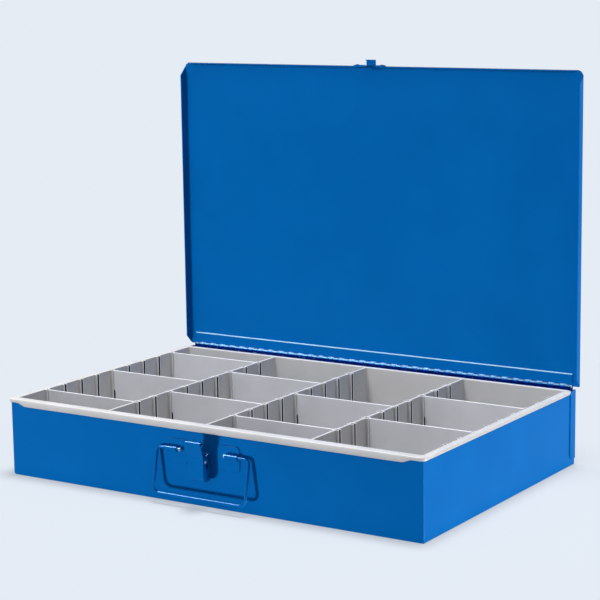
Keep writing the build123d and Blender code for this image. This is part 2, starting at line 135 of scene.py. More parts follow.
class HingeSizes(bpy.types.PropertyGroup):
    """Sizes of the full-length hinge."""

    knuckle: length("Knuckle length", "Length of one knuckle and its gap", 6.35)
    gap: length("Knuckle gap", "Clear gap between two knuckles", 0.3)
    pin: length("Pin diameter", "Diameter of the hinge pin", 2.4)
    clearance: length("Pin clearance", "Radial room round the pin", 0.05)
    relief: length("Comb relief", "Gap between a knuckle and the other leaf's strip", 0.4)


class HandleSizes(bpy.types.PropertyGroup):
    """Sizes of the bail and the plates that hold it."""

    wire: length("Wire", "Diameter of the bail wire", 3.0)
    width: length("Bail width", "Distance between the centres of the bail's legs", 102.2)
    drop: length("Bail drop", "Distance from the pivot to the centre of the hand bar", 42.3)
    top_bend: length("Top bend", "Radius of the bends beside the plates", 4.5)
    bottom_bend: length("Bottom bend", "Radius of the bends at the hand bar", 6.5)
    head: length("Wire head", "Diameter of the peened wire ends", 4.2)
    head_length: length("Wire head length", "Length of the peened wire ends", 1.6)
    end_float: length("End float", "Play between a wire head and its curl on each side", 1.6)
    lean: angle("Lean", "How far the hanging bail leans away from the wall", 10.5)
    plate_corner: length("Plate corner", "Corner radius of the handle plates", 4.0)
    curl: length("Curl length", "Length of the curl that holds the wire", 13.6)
    pivot_rise: length("Pivot rise", "Height of the wire's pivot above the middle of a plate", 2.5)


class LatchSizes(bpy.types.PropertyGroup):
    """Sizes of the latch lever, its bracket and the lid catch."""

    roll: length("Thumb roll", "Outer radius of the lever's rolled top", 1.9)
    toe_bend: length("Toe bend", "Outer radius of the fold at the lever's foot", 4.5)
    flare: length("Flare", "How far the lever's top leans out above its cheeks", 4.6)
    cheek_top: length("Cheek top", "Height of the lever's cheeks above the table", 50.0)
    cheek_ledge: length("Cheek ledge", "Level stretch at the top of a cheek", 5.2)
    heel: length("Heel height", "Height at which the cheek rests near the wall", 37.2)
    toe: length("Toe height", "Height at which the cheek turns under", 29.0)
    window_width: length("Window width", "Width of the window in each cheek", 3.0)
    window_height: length("Window height", "Height of the window in each cheek", 5.0)
    nose: length("Nose", "How far the lever's nose reaches toward the catch", 3.6)
    tongue: length("Tongue width", "Width of the hooked tongue on the catch", 9.2)
    thumb_tab: length("Thumb tab width", "Width of the catch's thumb tab", 10.6)
    rivet: length("Rivet head", "Diameter of the rivet heads", 4.6)
    rivet_rise: length("Rivet rise", "Height of the rivet heads", 0.8)
    rivet_spacing: length("Rivet spacing", "Distance between the two rivets", 28.6)


class TraySizes(bpy.types.PropertyGroup):
    """Sizes of the moulded tray and its dividers."""

    columns: IntProperty(name="Columns", description="Rows of compartments across", default=4, min=1)
    slots: IntProperty(name="Slots", description="Divider slots in each column", default=9, min=1)
    side_margin: length("Side margin", "From the case's side to the columns", 4.5)
    front_margin: length("Front margin", "From the case's front to the columns", 6.8)
    rear_margin: length("Rear margin", "From the case's rear to the columns", 15.9)
    partition: length("Partition", "Thickness of the walls between columns", 2.4)
    wall: length("Wall", "Thickness of the tub's wall and floor", 1.8)
    rim: length("Rim", "Thickness of the rim plate", 1.2)
    rim_corner: length("Rim corner", "Corner radius of the rim", 6.0)
    lip: length("Lip", "Thickness of the hanging lip", 1.3)
    front_lip: length("Front lip", "How far the lip hangs along the front", 6.2)
    side_lip: length("Side lip", "How far the lip hangs at the sides", 3.2)
    edge: length("Edge radius", "Radius of the rim's outer edges", 0.5)
    pocket_edge: length("Pocket edge", "Radius of the edges round each column", 0.45)
    pocket_corner: length("Pocket corner", "Corner radius of each column", 2.0)
    slot_margin: length("Slot margin", "From the rear of the columns to the last slot", 32.5)
    slot_pitch: length("Slot pitch", "Distance between divider slots", 26.0)
    slot_gap: length("Slot gap", "Gap between the two ribs of a slot", 2.0)
    rib_width: length("Rib width", "Thickness of a slot rib along the column", 1.5)
    rib_reach: length("Rib reach", "How far a slot rib stands out of the wall", 2.8)
    ear_height: length("Ear height", "Height of a divider's full-width end", 17.6)
    shoulder: length("Shoulder", "Height of the slope below a divider's ear", 5.2)
    foot_inset: length("Foot inset", "How far the stepped end stands in", 4.1)
    divider_corner: length("Divider corner", "Corner radius of a divider", 2.0)


class FinishColours(bpy.types.PropertyGroup):
    """Colours of the finishes and of the studio."""

    paint: tint("Paint", "Blue stoved enamel on every steel part", "0062AC")
    tray: tint("Tray", "Light grey moulded polystyrene of the tray", "BEBDBC")
    divider: tint("Dividers", "Light grey moulded polystyrene of the dividers", "E0E0E3")
    steel: tint("Steel", "Bare zinc-plated steel of the pins", "DCE6F0")
    backdrop: tint("Backdrop", "Floor and surroundings", "E5ECF4")


class StudioSizes(bpy.types.PropertyGroup):
    """Lights and camera."""

    key: power("Key", "Power of the front left light", 72.0)
    lid: power("Lid", "Power of the light on the lid", 74.0)
    tray: power("Tray", "Power of the light on the tray", 150.0)
    floor: power("Floor", "Power of the light on the floor", 195.0)
    edge: power("Edge", "Power of the light for reflections", 330.0)
    side: power("Side", "Power of the right light", 130.0)
    ambient: FloatProperty(name="Ambient", description="Strength of the surroundings", default=0.42)
    azimuth: angle("Azimuth", "Turn of the camera to the right of the front", 32.81)
    elevation: angle("Elevation", "Height of the camera above the horizon", 10.0)
    roll: angle("Roll", "Turn of the camera about its own line of sight", -0.80)
    distance: length("Distance", "Camera to the point it looks at", 1836.27)
    target: FloatVectorProperty(
        name="Target", description="Point that the camera looks at",
        default=(8.72 * MM, 0.0, 168.9 * MM), size=3, subtype="TRANSLATION", unit="LENGTH")
    lens: FloatProperty(
        name="Lens", description="Focal length on a 36 mm wide sensor, in millimetres", default=114.515)


# ---- Outlines ----
def arc(centre, radius, start, sweep, steps):
    """Points of an arc in a plane, with its angles in degrees."""
    turns = [radians(start + sweep * i / steps) for i in range(steps + 1)]
    return [(centre[0] + radius * cos(t), centre[1] + radius * sin(t)) for t in turns]


def quarter(radius, steps):
    """How far a quarter circle is from each of two sides, from (radius, 0) to (0, radius)."""
    turns = [radians(90 * i / steps) for i in range(steps + 1)]
    return [(radius * (1 - sin(t)), radius * (1 - cos(t))) for t in turns]


def circle(centre, radius, points=20):
    """A circle as a closed outline."""
    return arc(centre, radius, 0, 360 - 360 / points, points - 1)


def rounded_corner(before, corner, after, radius, steps):
    """Points of the arc that rounds one corner of an outline."""
    corner = Vector(corner)
    back = (Vector(before) - corner).normalized()
    ahead = (Vector(after) - corner).normalized()
    half_angle = back.angle(ahead) / 2
    nearly_straight = radians(89.5)
    if radius <= 0 or half_angle > nearly_straight:
        return [tuple(corner)]
    setback = radius / tan(half_angle)
    centre = corner + (back + ahead).normalized() * (radius / sin(half_angle))
    first = corner + back * setback - centre
    last = corner + ahead * setback - centre
    turn = first.angle_signed(last)
    return [tuple(centre + Matrix.Rotation(-turn * i / steps, 2) @ first) for i in range(steps + 1)]


def corner_arcs(points, corners, radius, steps):
    """Points of the arcs at some corners of an outline, of one radius or of one for each."""
    radii = radius if isinstance(radius, list) else [radius] * len(corners)
    line = []
    for i, r in zip(corners, radii):
        line += rounded_corner(points[i - 1], points[i], points[(i + 1) % len(points)], r, steps)
    return line


def rounded_loop(points, radius, steps=6):
    """A closed outline with its corners rounded."""
    return corner_arcs(points, range(len(points)), radius, steps)


def rounded_line(points, radius, steps=6):
    """An open outline with its inner corners rounded, without points that fall on the one before."""
    same_place = 0.002 * MM
    line = [points[0]]
    for point in corner_arcs(points, range(1, len(points) - 1), radius, steps) + [points[-1]]:
        if (Vector(point) - Vector(line[-1])).length > same_place:
            line.append(point)
    return line


def mirrored(line):
    """A line's mirror image on the other side of the middle, run backwards."""
    return [(-u, v) for u, v in reversed(line)]


def rectangle(low_u, high_u, low_v, high_v):
    """The corners of a rectangle, anticlockwise."""
    return [(low_u, low_v), (high_u, low_v), (high_u, high_v), (low_u, high_v)]


def along_x(u, v, w):
    """A profile drawn in Y and Z and drawn out along X."""
    return Vector((w, u, v))


def along_y(u, v, w):
    """A profile drawn in X and Z and drawn out along Y."""
    return Vector((u, w, v))


def along_z(u, v, w):
    """A profile drawn in X and Y and drawn out along Z."""
    return Vector((u, v, w))


# ---- Solids ----
def offset_line(line, distance):
    """An open outline moved to its left by a distance, mitred at its corners."""
    points = [Vector(p) for p in line]
    moved = []
    for i, point in enumerate(points):
        near = [points[j] for j in (i - 1, i + 1) if 0 <= j < len(points)]
        ways = [(point - near[0]).normalized()] if i else []
        ways += [(near[-1] - point).normalized()] if i < len(points) - 1 else []
        lefts = [Vector((-w.y, w.x)) for w in ways]
        mitre = sum(lefts, Vector((0, 0))).normalized()
        moved.append(point + mitre * (distance / mitre.dot(lefts[0])))
    return moved


def bridge(bm, one, other):
    """Joins two closed rings with the same number of points, or a ring and a single point."""
    count = max(len(one), len(other))
    for i in range(count):
        j = (i + 1) % count
        corners = [one[i % len(one)], one[j % len(one)], other[j % len(other)], other[i % len(other)]]
        bm.faces.new(list(dict.fromkeys(corners)))


def skin(bm, rings):
    """Joins a row of rings; returns the first and the last."""
    for one, other in zip(rings, rings[1:]):
        bridge(bm, one, other)
    return rings[0], rings[-1]


def close_skin(bm, rings):
    """Joins a row of rings and closes both ends, where a single point needs no face."""
    for ring in skin(bm, rings):
        if len(ring) > 1:
            bm.faces.new(ring)


def add_sheet(bm, line, thickness, span, place):
    """Adds a bent sheet: a line drawn out between two ends and thickened to its left.

    The span is (low, high), or a function of a point of the line that returns them.
    """
    stations = []
    for outside, inside in zip(line, offset_line(line, thickness)):
        low, high = span(outside) if callable(span) else span
        corners = ((outside, low), (outside, high), (inside, high), (inside, low))
        stations.append([bm.verts.new(place(p[0], p[1], w)) for p, w in corners])
    close_skin(bm, stations)


def add_plate(bm, outline, low, high, place, holes=()):
    """Adds a flat plate with any holes in it."""
    rims = {low: [], high: []}
    for loop in (outline, *holes):
        ends = {w: [bm.verts.new(place(u, v, w)) for u, v in loop] for w in rims}
        bridge(bm, ends[low], ends[high])
        for w in rims:
            rims[w].append(ends[w])
    for loops in rims.values():
        if holes:
            fill(bm, loops)
        else:
            bm.faces.new(loops[0])


def fill(bm, loops):
    """Fills the flat area between an outer loop of points and those inside it."""
    edges = [bm.edges.get(ends) for loop in loops for ends in zip(loop, loop[1:] + loop[:1])]
    bmesh.ops.triangle_fill(bm, use_beauty=True, edges=edges)


def add_turned(bm, profile, centre, segments=20):
    """Adds a solid turned about a line along X: pairs of radius and X, closed at both ends."""
    rings = []
    for radius, x in profile:
        turns = [2 * pi * i / segments for i in range(segments)] if radius > 0 else [0.0]
        rings.append([
            bm.verts.new((x, centre[0] + radius * cos(t), centre[1] + radius * sin(t))) for t in turns])
    close_skin(bm, rings)


def add_pin(bm, end, centre):
    """Adds a turned pin whose two ends are alike, from the profile of its left end."""
    add_turned(bm, end + [(radius, -x) for radius, x in reversed(end)], centre)


def add_wire(bm, path, across, radius, segments=16):
    """Adds a round wire along a path that lies in the plane square to one direction."""
    rings = []
    for i, point in enumerate(path):
        ahead = path[min(i + 1, len(path) - 1)] - path[max(i - 1, 0)]
        side = ahead.normalized().cross(across)
        turns = [2 * pi * k / segments for k in range(segments)]
        rings.append([bm.verts.new(point + (across * cos(t) + side * sin(t)) * radius) for t in turns])
    close_skin(bm, rings)


def object_of(bm, name):
    """Makes a mesh object of a finished set of faces."""
    mesh = bpy.data.meshes.new(name)
    bm.to_mesh(mesh)
    bm.free()
    made = bpy.data.objects.new(name, mesh)
    bpy.context.scene.collection.objects.link(made)
    return made


# The finished pieces of each body.
riders = {}


def finish_piece(bm, name, kind, body, *nodes, edge=0.0, sheet=0.0, smooth_angle=32):
    """Makes a piece of a set of faces, with its finish, body and the CAD nodes it stands for.

    An edge rounds its sharp edges, and a sheet thickens open faces inwards.
    """
    bmesh.ops.remove_doubles(bm, verts=bm.verts, dist=0.001 * MM)
    bmesh.ops.recalc_face_normals(bm, faces=bm.faces)
    made = object_of(bm, name)
    made.data.materials.append(material_of(kind))
    made.data.shade_smooth()
    made.data.set_sharp_from_angle(angle=radians(smooth_angle))
    if sheet:
        wall = made.modifiers.new("Sheet", "SOLIDIFY")
        wall.thickness = sheet
        wall.offset = -1.0
        wall.use_even_offset = True
    if edge:
        rounding = made.modifiers.new("Rounded edges", "BEVEL")
        rounding.width = edge
        rounding.segments = 2
        rounding.limit_method = "ANGLE"
        rounding.angle_limit = radians(smooth_angle)
        rounding.harden_normals = True
    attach(made, body)
    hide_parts(*nodes)
    riders.setdefault(body, []).append(made)


# ---- Nodes ----
def feed(tree, made, inputs):
    """Gives each named input of a node a value or the output socket that feeds it."""
    for key, value in inputs.items():
        if isinstance(value, bpy.types.NodeSocket):
            tree.links.new(value, made.inputs[key])
        else:
            made.inputs[key].default_value = value


def add_node(tree, kind, inputs=None, **settings):
    """Adds a node with its inputs and settings."""
    made = tree.nodes.new(kind)
    for name, value in settings.items():
        setattr(made, name, value)
    feed(tree, made, inputs or {})
    return made


def node(tree, kind, inputs=None, **settings):
    """The first output of a node that is added."""
    return add_node(tree, kind, inputs, **settings).outputs[0]


def maths(tree, operation, *values):
    """The result of an operation on numbers or sockets."""
    return node(tree, "ShaderNodeMath", dict(enumerate(values)), operation=operation)


def vector(tree, x=0.0, y=0.0, z=0.0):
    """A vector of three numbers or sockets."""
    return node(tree, "ShaderNodeCombineXYZ", {"X": x, "Y": y, "Z": z})


def shape_tree(name, **labels):
    """A Geometry Nodes tree and its named inputs, listed under their kinds of socket."""
    tree = bpy.data.node_groups.new(name, "GeometryNodeTree")
    tree.interface.new_socket(name="Geometry", in_out="OUTPUT", socket_type="NodeSocketGeometry")
    for kind, names in {**labels, "Material": ["Material"]}.items():
        for label in names:
            tree.interface.new_socket(name=label, in_out="INPUT", socket_type="NodeSocket" + kind)
    return tree, tree.nodes.new("NodeGroupInput").outputs


def joined(tree, *shapes):
    """Several shapes as one."""
    join = add_node(tree, "GeometryNodeJoinGeometry")
    for shape in shapes:
        tree.links.new(shape, join.inputs[0])
    return join.outputs[0]


def swept(tree, curve, profile):
    """A profile drawn along a curve, with closed ends."""
    return node(tree, "GeometryNodeCurveToMesh", {
        "Curve": curve, "Profile Curve": profile, "Fill Caps": True})


def repeated(tree, shape, count, step, start=(0, 0, 0)):
    """A shape repeated in a straight row."""
    row = node(tree, "GeometryNodeMeshLine", {"Count": count, "Start Location": start, "Offset": step})
    return node(tree, "GeometryNodeInstanceOnPoints", {"Points": row, "Instance": shape})


def close_tree(tree, shape, given):
    """Ends a tree: its instances are made real and take the material."""
    real = node(tree, "GeometryNodeRealizeInstances", {"Geometry": shape})
    painted = node(tree, "GeometryNodeSetMaterial", {"Geometry": real, "Material": given["Material"]})
    add_node(tree, "NodeGroupOutput", {"Geometry": painted})
    return tree


def grown(tree, values, placement):
    """The set of faces that a tree grows from the given values, moved to their place."""
    seed = bpy.data.objects.new(tree.name, bpy.data.meshes.new(tree.name))
    bpy.context.scene.collection.objects.link(seed)
    growth = seed.modifiers.new(tree.name, "NODES")
    growth.node_group = tree
    sockets = {s.name: s.identifier for s in tree.interface.items_tree if s.in_out == "INPUT"}
    for label, value in values.items():
        growth[sockets[label]] = value
    graph = bpy.context.evaluated_depsgraph_get()
    mesh = bpy.data.meshes.new_from_object(seed.evaluated_get(graph), depsgraph=graph)
    bpy.data.objects.remove(seed)
    mesh.transform(placement)
    bm = bmesh.new()
    bm.from_mesh(mesh)
    bpy.data.meshes.remove(mesh)
    return bm


# ---- Materials ----
def cleared_tree(owner):
    """The emptied node tree of a material or a world."""
    owner.use_nodes = True
    owner.node_tree.nodes.clear()
    return owner.node_tree


def material_tree(name):
    """A new material, its node tree, its shader and its Object coordinates."""
    material = bpy.data.materials.new(name)
    tree = cleared_tree(material)
    shader = add_node(tree, "ShaderNodeBsdfPrincipled")
    add_node(tree, "ShaderNodeOutputMaterial", {"Surface": shader.outputs[0]})
    return material, tree, shader, add_node(tree, "ShaderNodeTexCoord").outputs["Object"]


def parts_of(tree, place):
    """The X, Y and Z of a place."""
    return add_node(tree, "ShaderNodeSeparateXYZ", {"Vector": place}).outputs


def shade(colour, factor):
    """A colour made lighter or darker by a factor."""
    return (*[min(1.0, c * factor) for c in colour[:3]], 1.0)


def between(tree, amount, first, second):
    """A colour that goes from one to another as the amount goes from 0 to 1."""
    mix = add_node(tree, "ShaderNodeMix", {0: amount, 6: first, 7: second}, data_type="RGBA")
    return mix.outputs[2]


def spread(tree, value, low, high, new_low=0.0, new_high=1.0):
    """A value moved from one range to another and held inside it."""
    return node(tree, "ShaderNodeMapRange", {
        "Value": value, "From Min": low, "From Max": high, "To Min": new_low, "To Max": new_high})


def noise(tree, place, cell, detail):
    """Smooth noise with cells of about one size."""
    return node(tree, "ShaderNodeTexNoise", {"Vector": place, "Scale": 1 / cell, "Detail": detail})


def clouded(tree, cloud, colour, darkest, lightest):
    """A colour that drifts between two factors of itself with a cloud of noise."""
    thin, thick = 0.35, 0.65
    return between(tree, spread(tree, cloud, thin, thick), shade(colour, darkest), shade(colour, lightest))


def gloss(tree, cloud, smoothest, roughest):
    """A roughness that drifts with a cloud of noise."""
    thin, thick = 0.3, 0.7
    return spread(tree, cloud, thin, thick, smoothest, roughest)


def bump(tree, height, strength, depth):
    """The normal of a surface with a fine relief."""
    return node(tree, "ShaderNodeBump", {"Height": height, "Strength": strength, "Distance": depth})


def stoved_enamel(colour, hinge=False):
    """Stoved enamel sprayed on sheet steel: a glossy blue skin with a fine orange peel.

    It gives the eye an even blue with soft, slightly wavy reflections. On the hinge, a painted highlight lies
    on the knuckles' crests and along the strip's upper edge, over a line of painted shade below the knuckles.
    """
    material, tree, shader, place = material_tree("Stoved enamel, painted highlight and shade" if hinge else "Stoved enamel")
    cloud = noise(tree, place, cell=60 * MM, detail=3.0)
    tone = clouded(tree, cloud, colour, darkest=0.965, lightest=1.03)
    if hinge:
        zinc, knuckle_shade = hinge_marks(tree, place)
        # Painted shade: a dark navy below the knuckles stands in for the shade there.
        tone = between(tree, knuckle_shade, tone, linear_colour("001F80"))
        # Painted highlight: a pale blue on the knuckles' crests and along the strip's upper edge.
        tone = between(tree, zinc, tone, linear_colour("BEEBFF"))
    # The peel's real cells are about 1 mm across; they are drawn larger so that they show.
    peel = noise(tree, place, cell=1.6 * MM, detail=2.0)
    # Dust nibs under the paint, about one in each square centimetre.
    nib_pitch, nib_height, nib_top, nib_foot = 11 * MM, 1.5, 0.03, 0.06
    from_nib = node(tree, "ShaderNodeTexVoronoi", {"Vector": place, "Scale": 1 / nib_pitch})
    nib = spread(tree, from_nib, nib_top, nib_foot, 1.0, 0.0)
    relief = maths(tree, "MULTIPLY_ADD", nib, nib_height, peel)
    feed(tree, shader, {
        "Base Color": tone,
        "Roughness": gloss(tree, cloud, smoothest=0.18, roughest=0.24),
        "Normal": bump(tree, relief, strength=0.12, depth=0.04 * MM),
        "IOR": 1.5,
        "Specular IOR Level": 0.25,
        # The pigment tints what the skin reflects, so the blue stays deep.
        "Specular Tint": linear_colour("88B8F8"),
    })
    return material


def knuckle_count(sizes):
    """How many knuckles both leaves of the hinge have."""
    return round((pin_high.x - pin_low.x) / sizes.knuckle)


def hinge_marks(tree, place):
    """Two amounts on the hinge: where a painted highlight lies, and where painted shade lies."""
    sizes = bpy.context.scene.hinge_sizes
    across, _, high = parts_of(tree, place)
    knuckle = sizes.knuckle
    to_last_of_case = ((knuckle_count(sizes) + 1) // 2 - 1) * knuckle
    to_case_knuckle = maths(
        tree, "WRAP", maths(tree, "ADD", across, to_last_of_case), knuckle, -knuckle)
    away = maths(tree, "ABSOLUTE", to_case_knuckle)
    # The painted highlight reaches further down on the case's knuckles than on the lid's.
    case_highlight_from, lid_highlight_from = pin_z + 0.9 * MM, pin_z + 1.6 * MM
    crest_from = spread(tree, away, knuckle / 2 - 0.5 * MM, knuckle / 2, case_highlight_from, lid_highlight_from)
    above = spread(tree, maths(tree, "SUBTRACT", high, crest_from), 0.0, 0.2 * MM)
    barrel_top = pin_z + sizes.pin / 2 + bpy.context.scene.case_sizes.sheet
    below = spread(tree, high, barrel_top + 0.1 * MM, barrel_top + 0.3 * MM, 1.0, 0.0)
    upper_edge = spread(tree, high, lid_leaf_top - 1.1 * MM, lid_leaf_top - 0.8 * MM)
    # The first amount is a painted highlight on the knuckles' crests and along the lid leaf's upper edge.
    zinc = maths(tree, "MAXIMUM", maths(tree, "MULTIPLY", above, below), upper_edge)
    # The second amount is painted shade below about the middle of the pin.
    return zinc, spread(tree, high, pin_z + 0.1 * MM, pin_z + 0.7 * MM, 1.0, 0.0)


def slot_marks(tree, place):
    """Two amounts: painted shade inside the tray's divider slots, and a painted highlight on the crests of
    the ribs beside them.
    """
    sizes = bpy.context.scene.tray_sizes
    half, _, rear = column_plan()[:3]
    across, along, high = parts_of(tree, place)
    blur = 0.1 * MM

    def within(value, limit):
        """One where the value is less than the limit, either side of nought."""
        return spread(tree, maths(tree, "ABSOLUTE", value), limit - blur, limit + blur, 1.0, 0.0)

    from_middle = maths(tree, "SUBTRACT", along, slot_middle(sizes, rear))
    to_slot = maths(tree, "WRAP", from_middle, sizes.slot_pitch / 2, -sizes.slot_pitch / 2)
    floor = tray_low.z + sizes.wall
    row_half = sizes.slot_pitch * sizes.slots / 2
    in_rows = maths(tree, "MULTIPLY", within(from_middle, row_half), within(across, half))
    among = maths(tree, "MULTIPLY", in_rows, spread(tree, high, floor, floor + MM))
    half_gap = sizes.slot_gap / 2
    # The first reach bounds the painted shade in a slot, the second the painted highlight on the ribs'
    # crests.
    slot_shade_reach, crest_reach = half_gap + 0.3 * MM, half_gap + sizes.rib_width - 0.15 * MM
    return [maths(tree, "MULTIPLY", within(to_slot, reach), among) for reach in (slot_shade_reach, crest_reach)]


def moulded_polystyrene(name, colour, seed, slotted=False):
    """High-impact polystyrene from a finely eroded mould: an even, faintly cloudy light grey.

    It gives the eye soft broad highlights, a fine grain and a slight milkiness at thin edges.
    """
    material, tree, shader, place = material_tree("Moulded polystyrene, " + name)
    shift = (seed * 13 * MM, seed * 7 * MM, 0)
    moved = node(tree, "ShaderNodeMapping", {"Vector": place, "Location": shift})
    cloud = noise(tree, moved, cell=35 * MM, detail=4.0)
    tone = clouded(tree, cloud, colour, darkest=0.95, lightest=1.02)
    if slotted:
        slot_shade, crest_highlight = slot_marks(tree, place)
        # The tray is drawn darker at the pockets' floors, fading out by 6 mm above them.
        floor_top = tray_low.z + bpy.context.scene.tray_sizes.wall
        darker_from, darker_to = floor_top + 0.5 * MM, floor_top + 6 * MM
        darker_low = spread(tree, parts_of(tree, place)[2], darker_from, darker_to, 1.0, 0.0)
        # The ribs' crests get a painted highlight, and the slots between them painted shade.
        for amount, factor in ((darker_low, 0.6), (crest_highlight, 1.9), (slot_shade, 0.04)):
            tone = between(tree, amount, tone, shade(colour, factor))
    # The mould's grain is finer than a millimetre; it is drawn at 1.2 mm so that it shows.
    grain = noise(tree, place, cell=1.2 * MM, detail=2.0)
    feed(tree, shader, {
        "Base Color": tone,
        "Roughness": gloss(tree, cloud, smoothest=0.36, roughest=0.46),
        "Normal": bump(tree, grain, strength=0.1, depth=0.04 * MM),
        "IOR": 1.59,
        "Subsurface Weight": 0.15,
        "Subsurface Radius": (1.0, 1.0, 0.9),
        "Subsurface Scale": 1.2 * MM,
    })
    return material


def zinc_plate(colour):
    """Bright zinc on drawn steel wire: a pale grey metal with fine drawing lines along it."""
    material, tree, shader, place = material_tree("Bright zinc plate")
    line_stretch = 0.15
    drawn = node(tree, "ShaderNodeMapping", {"Vector": place, "Scale": (line_stretch, 1.0, 1.0)})
    lines = noise(tree, drawn, cell=0.5 * MM, detail=3.0)
    feed(tree, shader, {
        "Base Color": clouded(tree, lines, colour, darkest=0.9, lightest=1.05),
        "Roughness": gloss(tree, lines, smoothest=0.28, roughest=0.40),
        "Normal": bump(tree, lines, strength=0.15, depth=0.03 * MM),
        "Metallic": 0.6,
    })
    return material


# Each kind of finish: its slot in the CAD, and what makes its material from the colours.
finish_kinds = {
    "enamel": ("blue_paint", lambda colours: stoved_enamel(tuple(colours.paint))),
    "enamel, painted light": ("blue_paint", lambda colours: stoved_enamel(tuple(colours.paint), hinge=True)),
    "tray": ("tray_plastic", lambda colours: moulded_polystyrene("tray", tuple(colours.tray), 1, True)),
    "divider": ("divider_plastic", lambda colours: moulded_polystyrene("divider", tuple(colours.divider), 2)),
    "zinc": ("zinc_pin", lambda colours: zinc_plate(tuple(colours.steel))),
}
made_materials = {}


def material_of(kind):
    """The material of a kind of finish, made once and then shared."""
    if kind not in made_materials:
        made_materials[kind] = finish_kinds[kind][1](bpy.context.scene.finish_colours)
    return made_materials[kind]


# ---- Case ----
class CASE_OT_shell(bpy.types.Operator):
    """Folds the bottom, front and side walls from one sheet, with a relief hole at each corner"""

    bl_idname = "case.shell"
    bl_label = "Case shell"

    def execute(self, context):
        sizes = context.scene.case_sizes
        bend = sizes.bend
        fold_steps = 5
        bm = bmesh.new()

        def ring(inset, height):
            """The wall's line round three sides at one step of the bottom fold."""
            corner = max(bend - inset, 0.0)
            left = arc((-half_width + bend, front_y + bend), corner, 180, 90, fold_steps)
            right = arc((half_width - bend, front_y + bend), corner, 270, 90, fold_steps)
            rear = shell_high.y
            plan = [(-half_width + inset, rear), *left, *right, (half_width - inset, rear)]
            return [bm.verts.new((x, y, height)) for x, y in plan]

        rings = [ring(inset, height) for inset, height in quarter(bend, fold_steps)]
        floor = rings[0]
        top = [bm.verts.new((v.co.x, v.co.y, wall_top)) for v in rings[-1]]
        relief_holes = {*range(1, fold_steps + 1), *range(fold_steps + 2, 2 * fold_steps + 2)}
        for low, high in zip(rings, [*rings[1:], top]):
            for i in range(len(low) - 1):
                if high is top or i not in relief_holes:
                    bm.faces.new((low[i], low[i + 1], high[i + 1], high[i]))
        bm.faces.new((floor[0], floor[1], floor[-2], floor[-1]))
        finish_piece(bm, "case_walls", "enamel", "case", "case_shell", edge=sizes.edge, sheet=sizes.sheet)
        return {"FINISHED"}


class CASE_OT_rear(bpy.types.Operator):
    """Bends the rear panel round both side walls and forward into the hinge ledge"""

    bl_idname = "case.rear"
    bl_label = "Rear panel"

    def execute(self, context):
        sizes = context.scene.case_sizes
        bend, corner = sizes.bend, sizes.tab_corner
        outer_x = rear_high.x
        bend_end = outer_x - bend
        tab_front = rear_y - sizes.tab_width
        # Two stations this far apart make a step in the panel's height.
        step = 0.05 * MM
        ledge_bend = rear_high.z - bend

        def span(point):
            """Lowest and highest point of the panel at one place of its plan."""
            x, y = abs(point[0]), point[1]
            if x < bend_end - step:
                return rear_low.z, ledge_bend
            from_edge = min(y - tab_front, corner)
            rise = corner - (corner ** 2 - (corner - from_edge) ** 2) ** 0.5
            return sizes.tab_height + rise, rear_high.z

        tab = [(outer_x, tab_front + along) for _, along in quarter(corner, 6)]
        fold = rounded_line([tab[-1], (outer_x, rear_y), (bend_end - step, rear_y)], bend)
        back = [(x, rear_y) for x in (bend_end - step, bend_end - 2 * step)]
        half = tab[:-1] + fold[:-1] + back
        bm = bmesh.new()
        add_sheet(bm, half + mirrored(half), sizes.sheet, span, along_z)
        ledge_line = rounded_line(
            [(rear_y, ledge_bend), (rear_y, rear_high.z), (rear_y - sizes.ledge, rear_high.z)], bend)
        side_clearance = 0.2 * MM
        ledge_half = half_width - sizes.sheet - side_clearance
        add_sheet(bm, ledge_line, sizes.sheet, (-ledge_half, ledge_half), along_x)
        finish_piece(bm, "rear_wall", "enamel", "case", "rear_panel", edge=sizes.edge)
        return {"FINISHED"}


# ---- Hinge ----
def knuckle_tree():
    """A row of knuckles: a curl of sheet and the tooth that joins it to its leaf, repeated."""
    tree, given = shape_tree("Hinge knuckles", Int=["Count"], Float=[
        "Spacing", "Start", "Length", "Curl radius", "Sheet", "Tooth"])
    points, from_tooth, sweep = 22, radians(-90), radians(318)
    curl = node(tree, "GeometryNodeCurveArc", {
        "Resolution": points, "Radius": given["Curl radius"],
        "Start Angle": from_tooth, "Sweep Angle": sweep})
    upright = node(tree, "GeometryNodeSetCurveNormal", {"Curve": curl}, mode="Z_UP")
    section = node(tree, "GeometryNodeCurvePrimitiveQuadrilateral", {
        "Width": given["Sheet"], "Height": given["Length"]})
    tooth = node(tree, "GeometryNodeMeshCube", {
        "Size": vector(tree, given["Tooth"], given["Sheet"], given["Length"])})
    half_back = maths(tree, "MULTIPLY", given["Tooth"], -0.5)
    below = maths(tree, "MULTIPLY", given["Curl radius"], -1.0)
    moved = node(tree, "GeometryNodeTransform", {
        "Geometry": tooth, "Translation": vector(tree, half_back, below)})
    knuckle = joined(tree, moved, swept(tree, upright, section))
    step, start = vector(tree, z=given["Spacing"]), vector(tree, z=given["Start"])
    return close_tree(tree, repeated(tree, knuckle, given["Count"], step, start), given)


